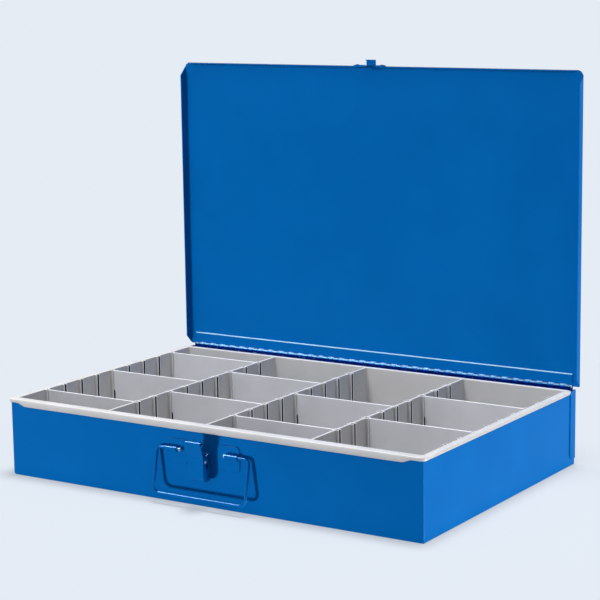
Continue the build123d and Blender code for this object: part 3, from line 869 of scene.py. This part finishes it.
class CASE_OT_hinge(bpy.types.Operator):
    """Makes both combed hinge leaves and the pin they turn on"""

    bl_idname = "case.hinge"
    bl_label = "Full-length hinge"

    def execute(self, context):
        sizes = context.scene.hinge_sizes
        sheet = context.scene.case_sizes.sheet
        bore = sizes.pin / 2 + sizes.clearance
        reach = bore + sheet + sizes.relief
        half = case_leaf_high.x
        count = knuckle_count(sizes)
        tree = knuckle_tree()
        # The body of each leaf, the two axes of its profile, its knuckles and the section of its strip.
        leaves = {
            "case_hinge_leaf": (
                "case", (0, 1, 0), (0, 0, 1), (count + 1) // 2,
                rectangle(case_leaf_low.y, pin_y - reach, pin_z - bore - sheet, pin_z - bore)),
            "lid_hinge_leaf": (
                "lid", (0, 0, -1), (0, -1, 0), count // 2,
                rectangle(pin_y + bore, pin_y + bore + sheet, pin_z + reach, lid_leaf_top)),
        }
        for name, (body, to_pin, off_sheet, knuckles, strip) in leaves.items():
            axes = Vector(to_pin), Vector(off_sheet), Vector(to_pin).cross(Vector(off_sheet))
            placement = Matrix.Translation((0, pin_y, pin_z)) @ Matrix(axes).transposed().to_4x4()
            bm = grown(tree, {
                "Count": knuckles, "Spacing": 2 * sizes.knuckle, "Start": -(knuckles - 1) * sizes.knuckle,
                "Length": sizes.knuckle - sizes.gap, "Curl radius": bore + sheet / 2, "Sheet": sheet,
                "Tooth": reach, "Material": material_of("enamel, painted light")}, placement)
            add_plate(bm, strip, -half, half, along_x)
            finish_piece(bm, name + "_combed", "enamel, painted light", body, name, edge=0.28 * MM, smooth_angle=40)
        bm = bmesh.new()
        radius, chamfer = sizes.pin / 2, 0.4 * MM
        end = [(0, pin_low.x), (radius - chamfer, pin_low.x), (radius, pin_low.x + chamfer)]
        add_pin(bm, end, (pin_y, pin_z))
        finish_piece(bm, "hinge_wire", "zinc", "case", "hinge_pin")
        return {"FINISHED"}


# ---- Lid ----
class CASE_OT_lid(bpy.types.Operator):
    """Folds the lid: a flat panel with two side flanges and a front flange"""

    bl_idname = "case.lid"
    bl_label = "Lid"

    def execute(self, context):
        sizes = context.scene.case_sizes
        outer_x, outer_y, free_y = lid_high.x, lid_high.y, lid_low.y
        side_top = lid_high.z - sizes.corner_cut
        bend_top = lid_high.z - sizes.bend
        above_pin = 0.4 * MM
        lid_bottom = pin_z + above_pin
        tail_half = case_leaf_high.x
        # Two stations this far apart make a step in the panel's height.
        step = 0.05 * MM

        def panel_span(point):
            """Lowest and highest point of the panel or a side flange at one place of its plan."""
            x, back = abs(point[0]), outer_y - point[1]
            if x < outer_x - sizes.bend:
                low = lid_low.z if x < tail_half else lid_bottom
                return low, min(bend_top, side_top + outer_x - x)
            # The top of a flange follows the corner's cut, and more gently round the bend.
            bend_slope = 0.5
            return lid_bottom + back, side_top - back + min(outer_x - x, sizes.bend) * bend_slope

        def front_span(point):
            """Ends of the front flange at one place of its profile."""
            reach = outer_x - (point[1] - side_top) - (outer_y - point[0])
            return -reach, reach

        fold = rounded_line([(outer_x, free_y), (outer_x, outer_y), (0, outer_y)], sizes.bend)[:-1]
        turns = (outer_x - sizes.bend - step, outer_x - sizes.corner_cut + sizes.bend,
                 tail_half + step, tail_half - step)
        half = fold + [(x, outer_y) for x in turns]
        bm = bmesh.new()
        add_sheet(bm, half + mirrored(half), sizes.sheet, panel_span, along_z)
        front_line = rounded_line(
            [(outer_y, bend_top), (outer_y, lid_high.z), (free_y, lid_high.z)], sizes.bend)
        add_sheet(bm, front_line, sizes.sheet, front_span, along_x)
        finish_piece(bm, "lid_panel", "enamel", "lid", "lid_shell", edge=sizes.edge)
        return {"FINISHED"}


def rivet_tree():
    """A row of set rivets: a domed head on each side of the joined sheets, and a shank."""
    tree, given = shape_tree("Set rivets", Int=["Count"], Float=["Spacing", "Head", "Rise", "Grip"])
    around, shank_share = 20, 0.32
    radius = maths(tree, "MULTIPLY", given["Head"], 0.5)
    half_grip = maths(tree, "MULTIPLY", given["Grip"], 0.5)
    shank_radius = maths(tree, "MULTIPLY", given["Head"], shank_share)
    ball = node(tree, "GeometryNodeMeshUVSphere", {
        "Segments": around, "Rings": around // 2, "Radius": 1.0})
    domes = []
    for side in (1.0, -1.0):
        place = vector(tree, z=maths(tree, "MULTIPLY", half_grip, side))
        domes.append(node(tree, "GeometryNodeTransform", {
            "Geometry": ball, "Translation": place, "Scale": vector(tree, radius, radius, given["Rise"])}))
    shank = node(tree, "GeometryNodeMeshCylinder", {
        "Vertices": around, "Radius": shank_radius, "Depth": given["Grip"]})
    step = vector(tree, given["Spacing"])
    return close_tree(tree, repeated(tree, joined(tree, *domes, shank), given["Count"], step), given)


class CASE_OT_catch(bpy.types.Operator):
    """Makes the riveted catch plate with its thumb tab and hooked tongue"""

    bl_idname = "case.catch"
    bl_label = "Lid catch"

    def execute(self, context):
        sizes = context.scene.latch_sizes
        sheet = context.scene.case_sizes.sheet
        setback = 0.6 * MM
        plate_front = lid_low.y + setback
        corner, tip_corner = 2 * sheet, 0.5 * MM
        low_z, face_z = lid_high.z, lid_high.z + sheet
        tongue, tab = sizes.tongue / 2, sizes.thumb_tab / 2
        edge_x, rear, top, tip = catch_high.x, catch_high.y, catch_high.z, catch_low.y
        outline = rounded_loop(
            [(-tongue, tip), (tongue, tip), (tongue, plate_front), (edge_x, plate_front), (edge_x, rear),
             (-edge_x, rear), (-edge_x, plate_front), (-tongue, plate_front)],
            [tip_corner, tip_corner, 0, corner, corner, corner, corner, 0])
        bm = bmesh.new()
        add_plate(bm, outline, low_z, face_z, along_z)
        # The folded ends start inside the plate, so that no seam shows.
        buried = 0.3 * MM
        hook_rise, hook_length, hook_z = 1.3 * MM, 3 * MM, low_z + 0.02 * MM
        hook = rounded_line([(tip, face_z + hook_rise), (tip, hook_z), (tip + hook_length, hook_z)], sheet)
        add_sheet(bm, hook, sheet, (-tongue, tongue), along_x)
        tab_turn = 1.6 * MM
        tab_line = rounded_line([(rear, face_z - buried), (rear, top), (rear - sheet - tab_turn, top)], sheet)
        add_sheet(bm, tab_line, sheet, (-tab, tab), along_x)
        finish_piece(bm, "catch_plate", "enamel", "lid", "lid_catch", edge=0.2 * MM)
        first_rivet = Vector((-sizes.rivet_spacing / 2, (plate_front + rear) / 2, low_z))
        bm = grown(rivet_tree(), {
            "Count": 2, "Spacing": sizes.rivet_spacing, "Head": sizes.rivet, "Rise": sizes.rivet_rise,
            "Grip": 2 * sheet, "Material": material_of("enamel")}, Matrix.Translation(first_rivet))
        finish_piece(bm, "catch_rivet_heads", "enamel", "lid", "catch_rivets", smooth_angle=60)
        return {"FINISHED"}


# ---- Bail handle ----
class CASE_OT_handle(bpy.types.Operator):
    """Makes the two handle plates and the bail wire that hangs from their curls"""

    bl_idname = "case.handle"
    bl_label = "Bail handle"

    def execute(self, context):
        sizes = context.scene.handle_sizes
        sheet = context.scene.case_sizes.sheet
        wire, wire_clearance = sizes.wire / 2, 0.06 * MM
        curl_sweep, curl_steps = 322, 28
        curl_radius = wire + wire_clearance + sheet
        pivot_y = front_y - sheet - curl_radius
        for side in ("left", "right"):
            low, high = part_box("handle_plate_" + side)
            pivot_z = (low.z + high.z) / 2 + sizes.pivot_rise
            bm = bmesh.new()
            outline = rounded_loop(rectangle(low.x, high.x, low.z, high.z), sizes.plate_corner)
            add_plate(bm, outline, front_y - sheet, front_y, along_y)
            start = low.x if side == "left" else high.x - sizes.curl
            root = (front_y - 0.4 * sheet, pivot_z + curl_radius)
            curl = [root, *arc((pivot_y, pivot_z), curl_radius, 90, curl_sweep, curl_steps)]
            add_sheet(bm, curl, sheet, (start, start + sizes.curl), along_x)
            node_name = "handle_plate_" + side
            finish_piece(bm, "curled_plate_" + side, "enamel", "case", node_name, edge=0.35 * MM)
        end = high.x - sizes.curl - sizes.end_float
        half = sizes.width / 2
        line = rounded_line(
            [(-end, 0), (-half, 0), (-half, -sizes.drop), (half, -sizes.drop), (half, 0), (end, 0)],
            [sizes.top_bend, sizes.bottom_bend, sizes.bottom_bend, sizes.top_bend], steps=10)
        down = Vector((0, sin(sizes.lean), cos(sizes.lean)))
        # The wire lies a little to one side in the play between its heads and the curls.
        aside = (bail_low.x + bail_high.x) / 2
        pivot = Vector((aside, pivot_y, pivot_z))
        path = [pivot + Vector((u, 0, 0)) + down * v for u, v in line]
        bm = bmesh.new()
        add_wire(bm, path, Vector((0, -cos(sizes.lean), sin(sizes.lean))), wire)
        finish_piece(bm, "bail_wire", "enamel", "bail", "bail_handle", smooth_angle=40)
        bm = bmesh.new()
        head, thick = sizes.head / 2, sizes.head_length
        # Shares of the head's radius and of its thickness, from its tip.
        peened = ((0, 0), (0.45, 0.05), (0.8, 0.22), (1, 0.55), (1, 0.8))
        profile = [(share * head, end - thick + along * thick) for share, along in peened]
        profile += [(wire, end), (0, end)]
        for way in (-1, 1):
            add_turned(bm, [(r, way * x + aside) for r, x in profile], (pivot_y, pivot_z))
        finish_piece(bm, "bail_peened_heads", "zinc", "bail", smooth_angle=40)
        return {"FINISHED"}


# ---- Latch ----
def add_cheeks(bm, outline, half, sheet, *holes):
    """Adds two like plates, one at each side, with the pin's hole and any others in them."""
    hole_radius = 1.05 * MM
    pin_hole = circle((latch_pin_y, latch_pin_z), hole_radius)
    for side in (-1, 1):
        low, high = sorted((side * half, side * (half - sheet)))
        add_plate(bm, outline, low, high, along_x, (pin_hole, *holes))


class CASE_OT_latch(bpy.types.Operator):
    """Makes the latch lever, the bracket that carries it and its pin"""

    bl_idname = "case.latch"
    bl_label = "Latch"

    def execute(self, context):
        sheet = context.scene.case_sizes.sheet
        self.make_lever(context.scene.latch_sizes, sheet)
        self.make_bracket(sheet)
        self.make_pin()
        return {"FINISHED"}

    def make_lever(self, sizes, sheet):
        """The folded lever: a face with a rolled top, two cheeks and a nose."""
        half, foot_z, top = lever_high.x, lever_low.z, sizes.cheek_top
        outer_y = lever_low.y + sizes.flare
        inner_y = outer_y + sheet
        roll_z = lever_high.z - sizes.roll
        # The foot turns toward the wall and stops clear of it, and the toe comes nearer.
        foot_y, toe_y = front_y - 3.7 * MM, front_y - 1.3 * MM
        bm = bmesh.new()
        face = rounded_line(
            [(foot_y, foot_z + sheet), (inner_y, foot_z + sheet), (inner_y, top),
             (inner_y - sizes.flare, roll_z)],
            sizes.toe_bend - sheet)
        roll_sweep, roll_steps = -318, 28
        roll_centre = (lever_low.y + sizes.roll, roll_z)
        roll = arc(roll_centre, sizes.roll - sheet, 180, roll_sweep, roll_steps)
        add_sheet(bm, face[:-1] + roll, sheet, (-half, half), along_x)
        bend_centre = (outer_y + sizes.toe_bend, foot_z + sizes.toe_bend)
        cheek = [
            (outer_y + sheet / 2, top), *arc(bend_centre, sizes.toe_bend - sheet / 2, 180, 90, 6),
            (foot_y, foot_z), (toe_y, sizes.toe), (lever_high.y, sizes.heel),
            (inner_y + sizes.cheek_ledge, top)]
        # The window lies below the pin, toward the wall.
        window_y, window_z = latch_pin_y + 3.1 * MM, latch_pin_z - 4.0 * MM
        half_y, half_z = sizes.window_width / 2, sizes.window_height / 2
        window = rectangle(window_y - half_y, window_y + half_y, window_z - half_z, window_z + half_z)
        window_corner, corner_steps = 0.4 * MM, 3
        add_cheeks(bm, cheek, half, sheet, rounded_loop(window, window_corner, corner_steps))
        nose_low, nose_high, nose_half = 59.0 * MM, 60.2 * MM, 4.5 * MM
        leaned = sizes.flare * ((nose_low - top) / (roll_z - top))
        nose = rectangle(inner_y - sheet / 2 - leaned, inner_y + sizes.nose, nose_low, nose_high)
        add_plate(bm, nose, -nose_half, nose_half, along_x)
        finish_piece(bm, "latch_lever_folded", "enamel", "latch", "latch_lever", edge=0.3 * MM)

    def make_bracket(self, sheet):
        """The channel on the front wall whose two ears carry the pin."""
        half, low, high = bracket_high.x, bracket_low.z, bracket_high.z
        bm = bmesh.new()
        add_plate(bm, rectangle(-half, half, low, high), front_y - sheet, front_y, along_y)
        eye = latch_pin_y - bracket_low.y
        root = front_y - sheet / 2
        ear = [(root, low), (root, high), *arc((latch_pin_y, latch_pin_z), eye, 90, 180, 10)]
        add_cheeks(bm, ear, half, sheet)
        finish_piece(bm, "latch_channel", "enamel", "case", "latch_bracket", edge=0.15 * MM)

    def make_pin(self):
        """The headed pin across the bracket and the lever."""
        radius, head, low = 1.0 * MM, (latch_pin_high.z - latch_pin_low.z) / 2, latch_pin_low.x
        # Shares of the head's radius, and millimetres from its end.
        domed = ((0, 0), (0.5, 0.04), (0.85, 0.2), (1, 0.4), (1, 0.6))
        end = [(share * head, low + depth * MM) for share, depth in domed]
        bm = bmesh.new()
        add_pin(bm, [*end, (radius, end[-1][1])], (latch_pin_y, latch_pin_z))
        finish_piece(bm, "latch_pin_headed", "zinc", "case", "latch_pin")


# ---- Tray ----
def column_plan():
    """Half width, front and rear of the block of columns, and the width and centres of each."""
    sizes = bpy.context.scene.tray_sizes
    half = half_width - sizes.side_margin
    front, rear = front_y + sizes.front_margin, rear_y - sizes.rear_margin
    width = (2 * half + sizes.partition) / sizes.columns - sizes.partition
    pitch = width + sizes.partition
    centres = [pitch * (i - (sizes.columns - 1) / 2) for i in range(sizes.columns)]
    return half, front, rear, width, centres


def slot_middle(sizes, rear):
    """Where the middle of the row of slots lies."""
    return rear - sizes.slot_margin - sizes.slot_pitch * (sizes.slots - 1) / 2


def rib_tree():
    """Slot ribs: a rounded upright, repeated in pairs, along a column, on both sides, for each column."""
    rows = ("Pair", "Slots", "Sides", "Columns")
    tree, given = shape_tree(
        "Slot ribs", Float=["Width", "Reach", "Height"],
        Int=[row + " count" for row in rows], Vector=[row + " step" for row in rows])
    section = node(tree, "GeometryNodeCurvePrimitiveQuadrilateral", {
        "Width": given["Reach"], "Height": given["Width"]})
    soft_edge, soft_steps = 0.35 * MM, 3
    softened = node(tree, "GeometryNodeFilletCurve", {
        "Curve": section, "Count": soft_steps, "Radius": soft_edge}, mode="POLY")
    upright = node(tree, "GeometryNodeCurvePrimitiveLine", {"End": vector(tree, z=given["Height"])})
    shape = swept(tree, upright, softened)
    for row in rows:
        count, step = given[row + " count"], given[row + " step"]
        back = maths(tree, "MULTIPLY", maths(tree, "ADD", count, -1.0), -0.5)
        start = node(tree, "ShaderNodeVectorMath", {0: step, "Scale": back}, operation="SCALE")
        shape = repeated(tree, shape, count, step, start)
    return close_tree(tree, shape, given)


class CASE_OT_tray(bpy.types.Operator):
    """Moulds the tray: a rim with a hanging lip, a tub of four columns, and the slot ribs"""

    bl_idname = "case.tray"
    bl_label = "Tray"

    def execute(self, context):
        sizes = context.scene.tray_sizes
        half, front, rear, width, centres = column_plan()
        wall = sizes.wall
        floor_top = tray_low.z + wall
        floor_round, tub_round = 1.5 * MM, 3.0 * MM
        bm = bmesh.new()

        def ring(middle, half_x, inset, height):
            """A rounded rectangle round the columns, or round one of them, moved in by an inset."""
            corners = rectangle(
                middle - half_x + inset, middle + half_x - inset, front + inset, rear - inset)
            plan = rounded_loop(corners, max(sizes.pocket_corner - inset, 0.02 * MM), 8)
            return [bm.verts.new((x, y, height)) for x, y in plan]

        rim_top, rim_inside = skin(bm, self.rim_rings(bm, sizes))
        tub = [ring(0, half, -wall, wall_top)]
        tub += [ring(0, half, inset - wall, tray_low.z + rise) for rise, inset in quarter(tub_round, 5)]
        tub_top, tub_bottom = skin(bm, tub)
        fill(bm, [rim_inside, tub_top])
        bm.faces.new(tub_bottom)
        mouths = []
        for x in centres:
            round_mouth, round_floor = quarter(sizes.pocket_edge, 3), quarter(floor_round, 4)
            pocket = [ring(x, width / 2, -outset, tray_high.z - drop) for outset, drop in round_mouth]
            pocket += [ring(x, width / 2, inset, floor_top + rise) for rise, inset in round_floor]
            mouth, floor = skin(bm, pocket)
            mouths.append(mouth)
            bm.faces.new(floor)
        fill(bm, [rim_top, *mouths])
        finish_piece(bm, "tray_moulding", "tray", "tray", "tray_insert")
        self.make_ribs(sizes, width, floor_top, rear)
        return {"FINISHED"}

    def rim_rings(self, bm, sizes):
        """Rings of the rim from the edge of its flat top, over the lip and up inside it."""
        low_y, high_y, half = tray_low.y, tray_high.y, tray_high.x
        corner_steps, lip_steps, hair = 8, 14, 0.1 * MM
        step_out, step_in = half - 12 * MM, half - 23 * MM

        def lip_depth(x, y):
            """How far the lip hangs below the rim's top: deep along the front, shallow at the sides."""
            if y > high_y - hair or (y > high_y - sizes.rim_corner and abs(x) < half - hair):
                return sizes.rim
            if y > low_y + hair + sizes.rim_corner or abs(x) >= step_out:
                return sizes.side_lip
            share = min(max((step_out - abs(x)) / (step_out - step_in), 0.0), 1.0)
            return sizes.side_lip + (sizes.front_lip - sizes.side_lip) * (3 * share ** 2 - 2 * share ** 3)

        def ring(inset, depth_of):
            """The rim's line at an inset, with extra points where the lip steps down."""
            corners = rectangle(-half + inset, half - inset, low_y + inset, high_y - inset)
            line = rounded_loop(corners, sizes.rim_corner - inset, corner_steps)
            left_end = line.index(max(line[:corner_steps + 1], key=lambda p: p[0])) + 1
            xs = [step_in + (step_out - step_in) * i / lip_steps for i in range(lip_steps + 1)]
            right = [(x, low_y + inset) for x in xs]
            plan = line[:left_end] + mirrored(right) + right + line[left_end:]
            return [bm.verts.new((x, y, tray_high.z - depth_of(x, y))) for x, y in plan]

        lip, soft = sizes.lip, 0.35 * MM
        rings = [ring(inset, lambda x, y, drop=drop: drop) for inset, drop in quarter(sizes.edge, 3)]
        for inset, lift in ((0, soft), (soft * 0.3, soft * 0.3), (soft, 0), (lip, 0)):
            rings.append(ring(inset, lambda x, y, lift=lift: lip_depth(x, y) - lift))
        rings.append(ring(lip, lambda x, y: sizes.rim))
        return rings

    def make_ribs(self, sizes, width, floor_top, rear):
        """The upright ribs that hold the dividers."""
        below_rim, in_wall = 0.15 * MM, 0.6 * MM
        bm = grown(rib_tree(), {
            "Width": sizes.rib_width, "Reach": sizes.rib_reach, "Height": tray_high.z - below_rim - floor_top,
            "Pair count": 2, "Pair step": (0, sizes.slot_gap + sizes.rib_width, 0),
            "Slots count": sizes.slots, "Slots step": (0, sizes.slot_pitch, 0),
            "Sides count": 2, "Sides step": (width - sizes.rib_reach + in_wall, 0, 0),
            "Columns count": sizes.columns, "Columns step": (width + sizes.partition, 0, 0),
            "Material": material_of("tray")},
            Matrix.Translation((0, slot_middle(sizes, rear), floor_top)))
        finish_piece(bm, "tray_slot_ribs", "tray", "tray")


class CASE_OT_dividers(bpy.types.Operator):
    """Moulds the nine dividers, each with one end stepped in below its ear"""

    bl_idname = "case.dividers"
    bl_label = "Dividers"

    # Which end of each divider is stepped in, -1 for left and 1 for right.
    stepped_ends = {
        "divider_1_1": 1, "divider_1_2": -1, "divider_1_3": 1, "divider_2_1": -1, "divider_2_2": 1,
        "divider_3_1": 1, "divider_3_2": -1, "divider_4_1": 1, "divider_4_2": -1,
    }

    def execute(self, context):
        sizes = context.scene.tray_sizes
        for name, end in self.stepped_ends.items():
            low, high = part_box(name)
            middle, half = (low.x + high.x) / 2, (high.x - low.x) / 2
            plain, eared, foot = [middle + end * x for x in (-half, half, half - sizes.foot_inset)]
            ear = high.z - sizes.ear_height
            corners = [(plain, low.z), (plain, high.z), (eared, high.z), (eared, ear),
                       (foot, ear - sizes.shoulder), (foot, low.z)]
            bm = bmesh.new()
            add_plate(bm, rounded_loop(corners, sizes.divider_corner), low.y, high.y, along_y)
            finish_piece(bm, name + "_plate", "divider", name, name, edge=0.3 * MM)
        return {"FINISHED"}


# ---- Stage ----
def seen_directly(tree):
    """One for a ray from the camera, or one that has come through a clear body, and nought for others."""
    rays = add_node(tree, "ShaderNodeLightPath").outputs
    return maths(tree, "MAXIMUM", rays["Is Camera Ray"], rays["Is Transmission Ray"])


def floor_material(colour):
    """Matt seamless paper: the backdrop's colour to the camera, with the object's soft shadow in it."""
    material = bpy.data.materials.new("Seamless paper")
    tree = cleared_tree(material)
    seen = seen_directly(tree)
    # The paper throws back less light than it shows, so that the walls keep their shading.
    tone = between(tree, seen, shade(colour, 0.12), shade(colour, 0.45))
    paper = node(tree, "ShaderNodeBsdfDiffuse", {"Color": tone})
    plain = node(tree, "ShaderNodeEmission", {"Color": colour, "Strength": 1.0})
    place = add_node(tree, "ShaderNodeTexCoord").outputs["Object"]
    away = add_node(tree, "ShaderNodeVectorMath", {0: place}, operation="LENGTH").outputs["Value"]
    # The shadow is kept near the object and fades into the plain colour further out.
    shadow_end, plain_from = 0.30, 0.62
    plain_share = spread(tree, away, shadow_end, plain_from, 0.55, 1.0)
    amount = maths(tree, "MULTIPLY", seen, plain_share)
    surface = node(tree, "ShaderNodeMixShader", {0: amount, 1: paper, 2: plain})
    add_node(tree, "ShaderNodeOutputMaterial", {"Surface": surface})
    return material


class CASE_OT_stage(bpy.types.Operator):
    """Sets the floor, the surroundings, the lights and the camera"""

    bl_idname = "case.stage"
    bl_label = "Studio"

    def execute(self, context):
        scene = context.scene
        settings = scene.studio_sizes
        colour = tuple(scene.finish_colours.backdrop)
        bm = bmesh.new()
        bmesh.ops.create_grid(bm, x_segments=1, y_segments=1, size=6.0)
        floor = object_of(bm, "floor")
        floor.data.materials.append(floor_material(colour))
        # The key and side lights shine up through the floor, as through a light table.
        floor.visible_shadow = False
        self.make_world(scene, colour, settings.ambient)
        self.make_lights(settings, floor)
        self.aim_camera(scene, settings)
        scene.view_settings.view_transform = "Standard"
        return {"FINISHED"}

    def make_world(self, scene, colour, ambient):
        """The backdrop's plain colour to the camera and through clear bodies, and a soft even fill."""
        world = bpy.data.worlds.new("Studio surroundings")
        tree = cleared_tree(world)
        fill_colour = (0.96, 1.0, 1.1, 1.0)
        fill_light = node(tree, "ShaderNodeBackground", {"Color": fill_colour, "Strength": ambient})
        plain = node(tree, "ShaderNodeBackground", {"Color": colour, "Strength": 1.0})
        surface = node(tree, "ShaderNodeMixShader", {0: seen_directly(tree), 1: fill_light, 2: plain})
        add_node(tree, "ShaderNodeOutputWorld", {"Surface": surface})
        scene.world = world

    def make_lights(self, settings, floor):
        """Soft boxes, most of them kept on some of the pieces."""
        pieces = [(body, piece) for body, made in riders.items() for piece in made]
        inner = [piece for body, piece in pieces if body.startswith(("tray", "divider"))]
        outer = [piece for _, piece in pieces if piece not in inner]
        lid = riders["lid"]
        other = [piece for _, piece in pieces if piece not in lid]
        # The mirror images of these two would lie on the flat fronts as a pale sheen.
        self.add_light("key light", settings.key, (-1.50, -2.60, -0.97), (0.35, 0.35), other, glossy=False)
        self.add_light("lid light", settings.lid, (-1.10, -3.03, 0.80), (0.8, 0.8), lid, glossy=False)
        self.add_light("tray light", settings.tray, (-0.50, -0.45, 3.15), (1.2, 0.8), inner)
        self.add_light("floor light", settings.floor, (0.15, 0.15, 3.2), (1.2, 0.8), [floor])
        # Seen only in reflections, it draws the bright lines on wire, rolled edges and folds.
        self.add_light(
            "edge light", settings.edge, (-1.6, -0.85, 2.4), (1.2, 0.7), outer,
            diffuse=False, colour="B4E0FF")
        self.add_light("side light", settings.side, (2.9, 0.55, -1.3), (1.0, 0.6))

    def add_light(self, name, watts, place, size, lit=(), glossy=True, diffuse=True, colour="FFFFFF"):
        """A soft box aimed at the middle of the object, for the lit pieces only where there are any."""
        light = bpy.data.lights.new(name, "AREA")
        light.shape = "RECTANGLE"
        light.size, light.size_y = size
        light.energy = watts
        light.color = linear_colour(colour)[:3]
        lamp = bpy.data.objects.new(name, light)
        lamp.location = place
        middle = Vector((0, 0, 0.12))
        lamp.rotation_euler = (middle - Vector(place)).to_track_quat("-Z", "Y").to_euler()
        lamp.visible_camera = False
        lamp.visible_glossy = glossy
        lamp.visible_diffuse = diffuse
        if lit:
            group = bpy.data.collections.new("Lit by the " + name)
            for piece in lit:
                group.objects.link(piece)
            lamp.light_linking.receiver_collection = group
        bpy.context.scene.collection.objects.link(lamp)

    def aim_camera(self, scene, settings):
        """The camera on its azimuth, elevation, roll and distance."""
        azimuth, elevation, roll = settings.azimuth, settings.elevation, settings.roll
        back = Vector((sin(azimuth) * cos(elevation), -cos(azimuth) * cos(elevation), sin(elevation)))
        right = (-back).cross(Vector((0, 0, 1))).normalized()
        up = right.cross(-back)
        level = Matrix((right, up, back)).transposed()
        camera_data = bpy.data.cameras.new("camera")
        camera_data.lens = settings.lens
        camera_data.sensor_width = 36.0
        camera_data.clip_end = 50.0
        camera = bpy.data.objects.new("camera", camera_data)
        camera.matrix_world = (level @ Matrix.Rotation(roll, 3, "Z")).to_4x4()
        camera.location = Vector(settings.target) + back * settings.distance
        scene.collection.objects.link(camera)
        scene.camera = camera


# ---- Panel and registration ----
class CASE_PT_parts(bpy.types.Panel):
    """Lists the pieces of the case and their settings"""

    bl_idname = "CASE_PT_parts"
    bl_label = "Compartment case"
    bl_space_type = "VIEW_3D"
    bl_region_type = "UI"
    bl_category = "Compartment case"

    def draw(self, context):
        for name, group in setting_groups.items():
            box = self.layout.box()
            box.label(text=group.__doc__)
            for setting in group.__annotations__:
                box.prop(getattr(context.scene, name), setting)
        for operator in operators:
            self.layout.operator(operator.bl_idname)


setting_groups = {
    "case_sizes": CaseSizes,
    "hinge_sizes": HingeSizes,
    "handle_sizes": HandleSizes,
    "latch_sizes": LatchSizes,
    "tray_sizes": TraySizes,
    "finish_colours": FinishColours,
    "studio_sizes": StudioSizes,
}
operators = (
    CASE_OT_shell, CASE_OT_rear, CASE_OT_hinge, CASE_OT_lid, CASE_OT_catch,
    CASE_OT_handle, CASE_OT_latch, CASE_OT_tray, CASE_OT_dividers, CASE_OT_stage)


def register():
    """Adds the settings, the operators and the panel to Blender."""
    for name, group in setting_groups.items():
        bpy.utils.register_class(group)
        setattr(bpy.types.Scene, name, PointerProperty(type=group))
    for cls in (*operators, CASE_PT_parts):
        bpy.utils.register_class(cls)


def unregister():
    """Takes them out again."""
    for cls in (CASE_PT_parts, *reversed(operators)):
        bpy.utils.unregister_class(cls)
    for name, group in reversed(setting_groups.items()):
        delattr(bpy.types.Scene, name)
        bpy.utils.unregister_class(group)


def main():
    """Builds every piece and the stage."""
    register()
    for operator in operators:
        category, action = operator.bl_idname.split(".")
        getattr(getattr(bpy.ops, category), action)()


if __name__ == "__main__":
    main()
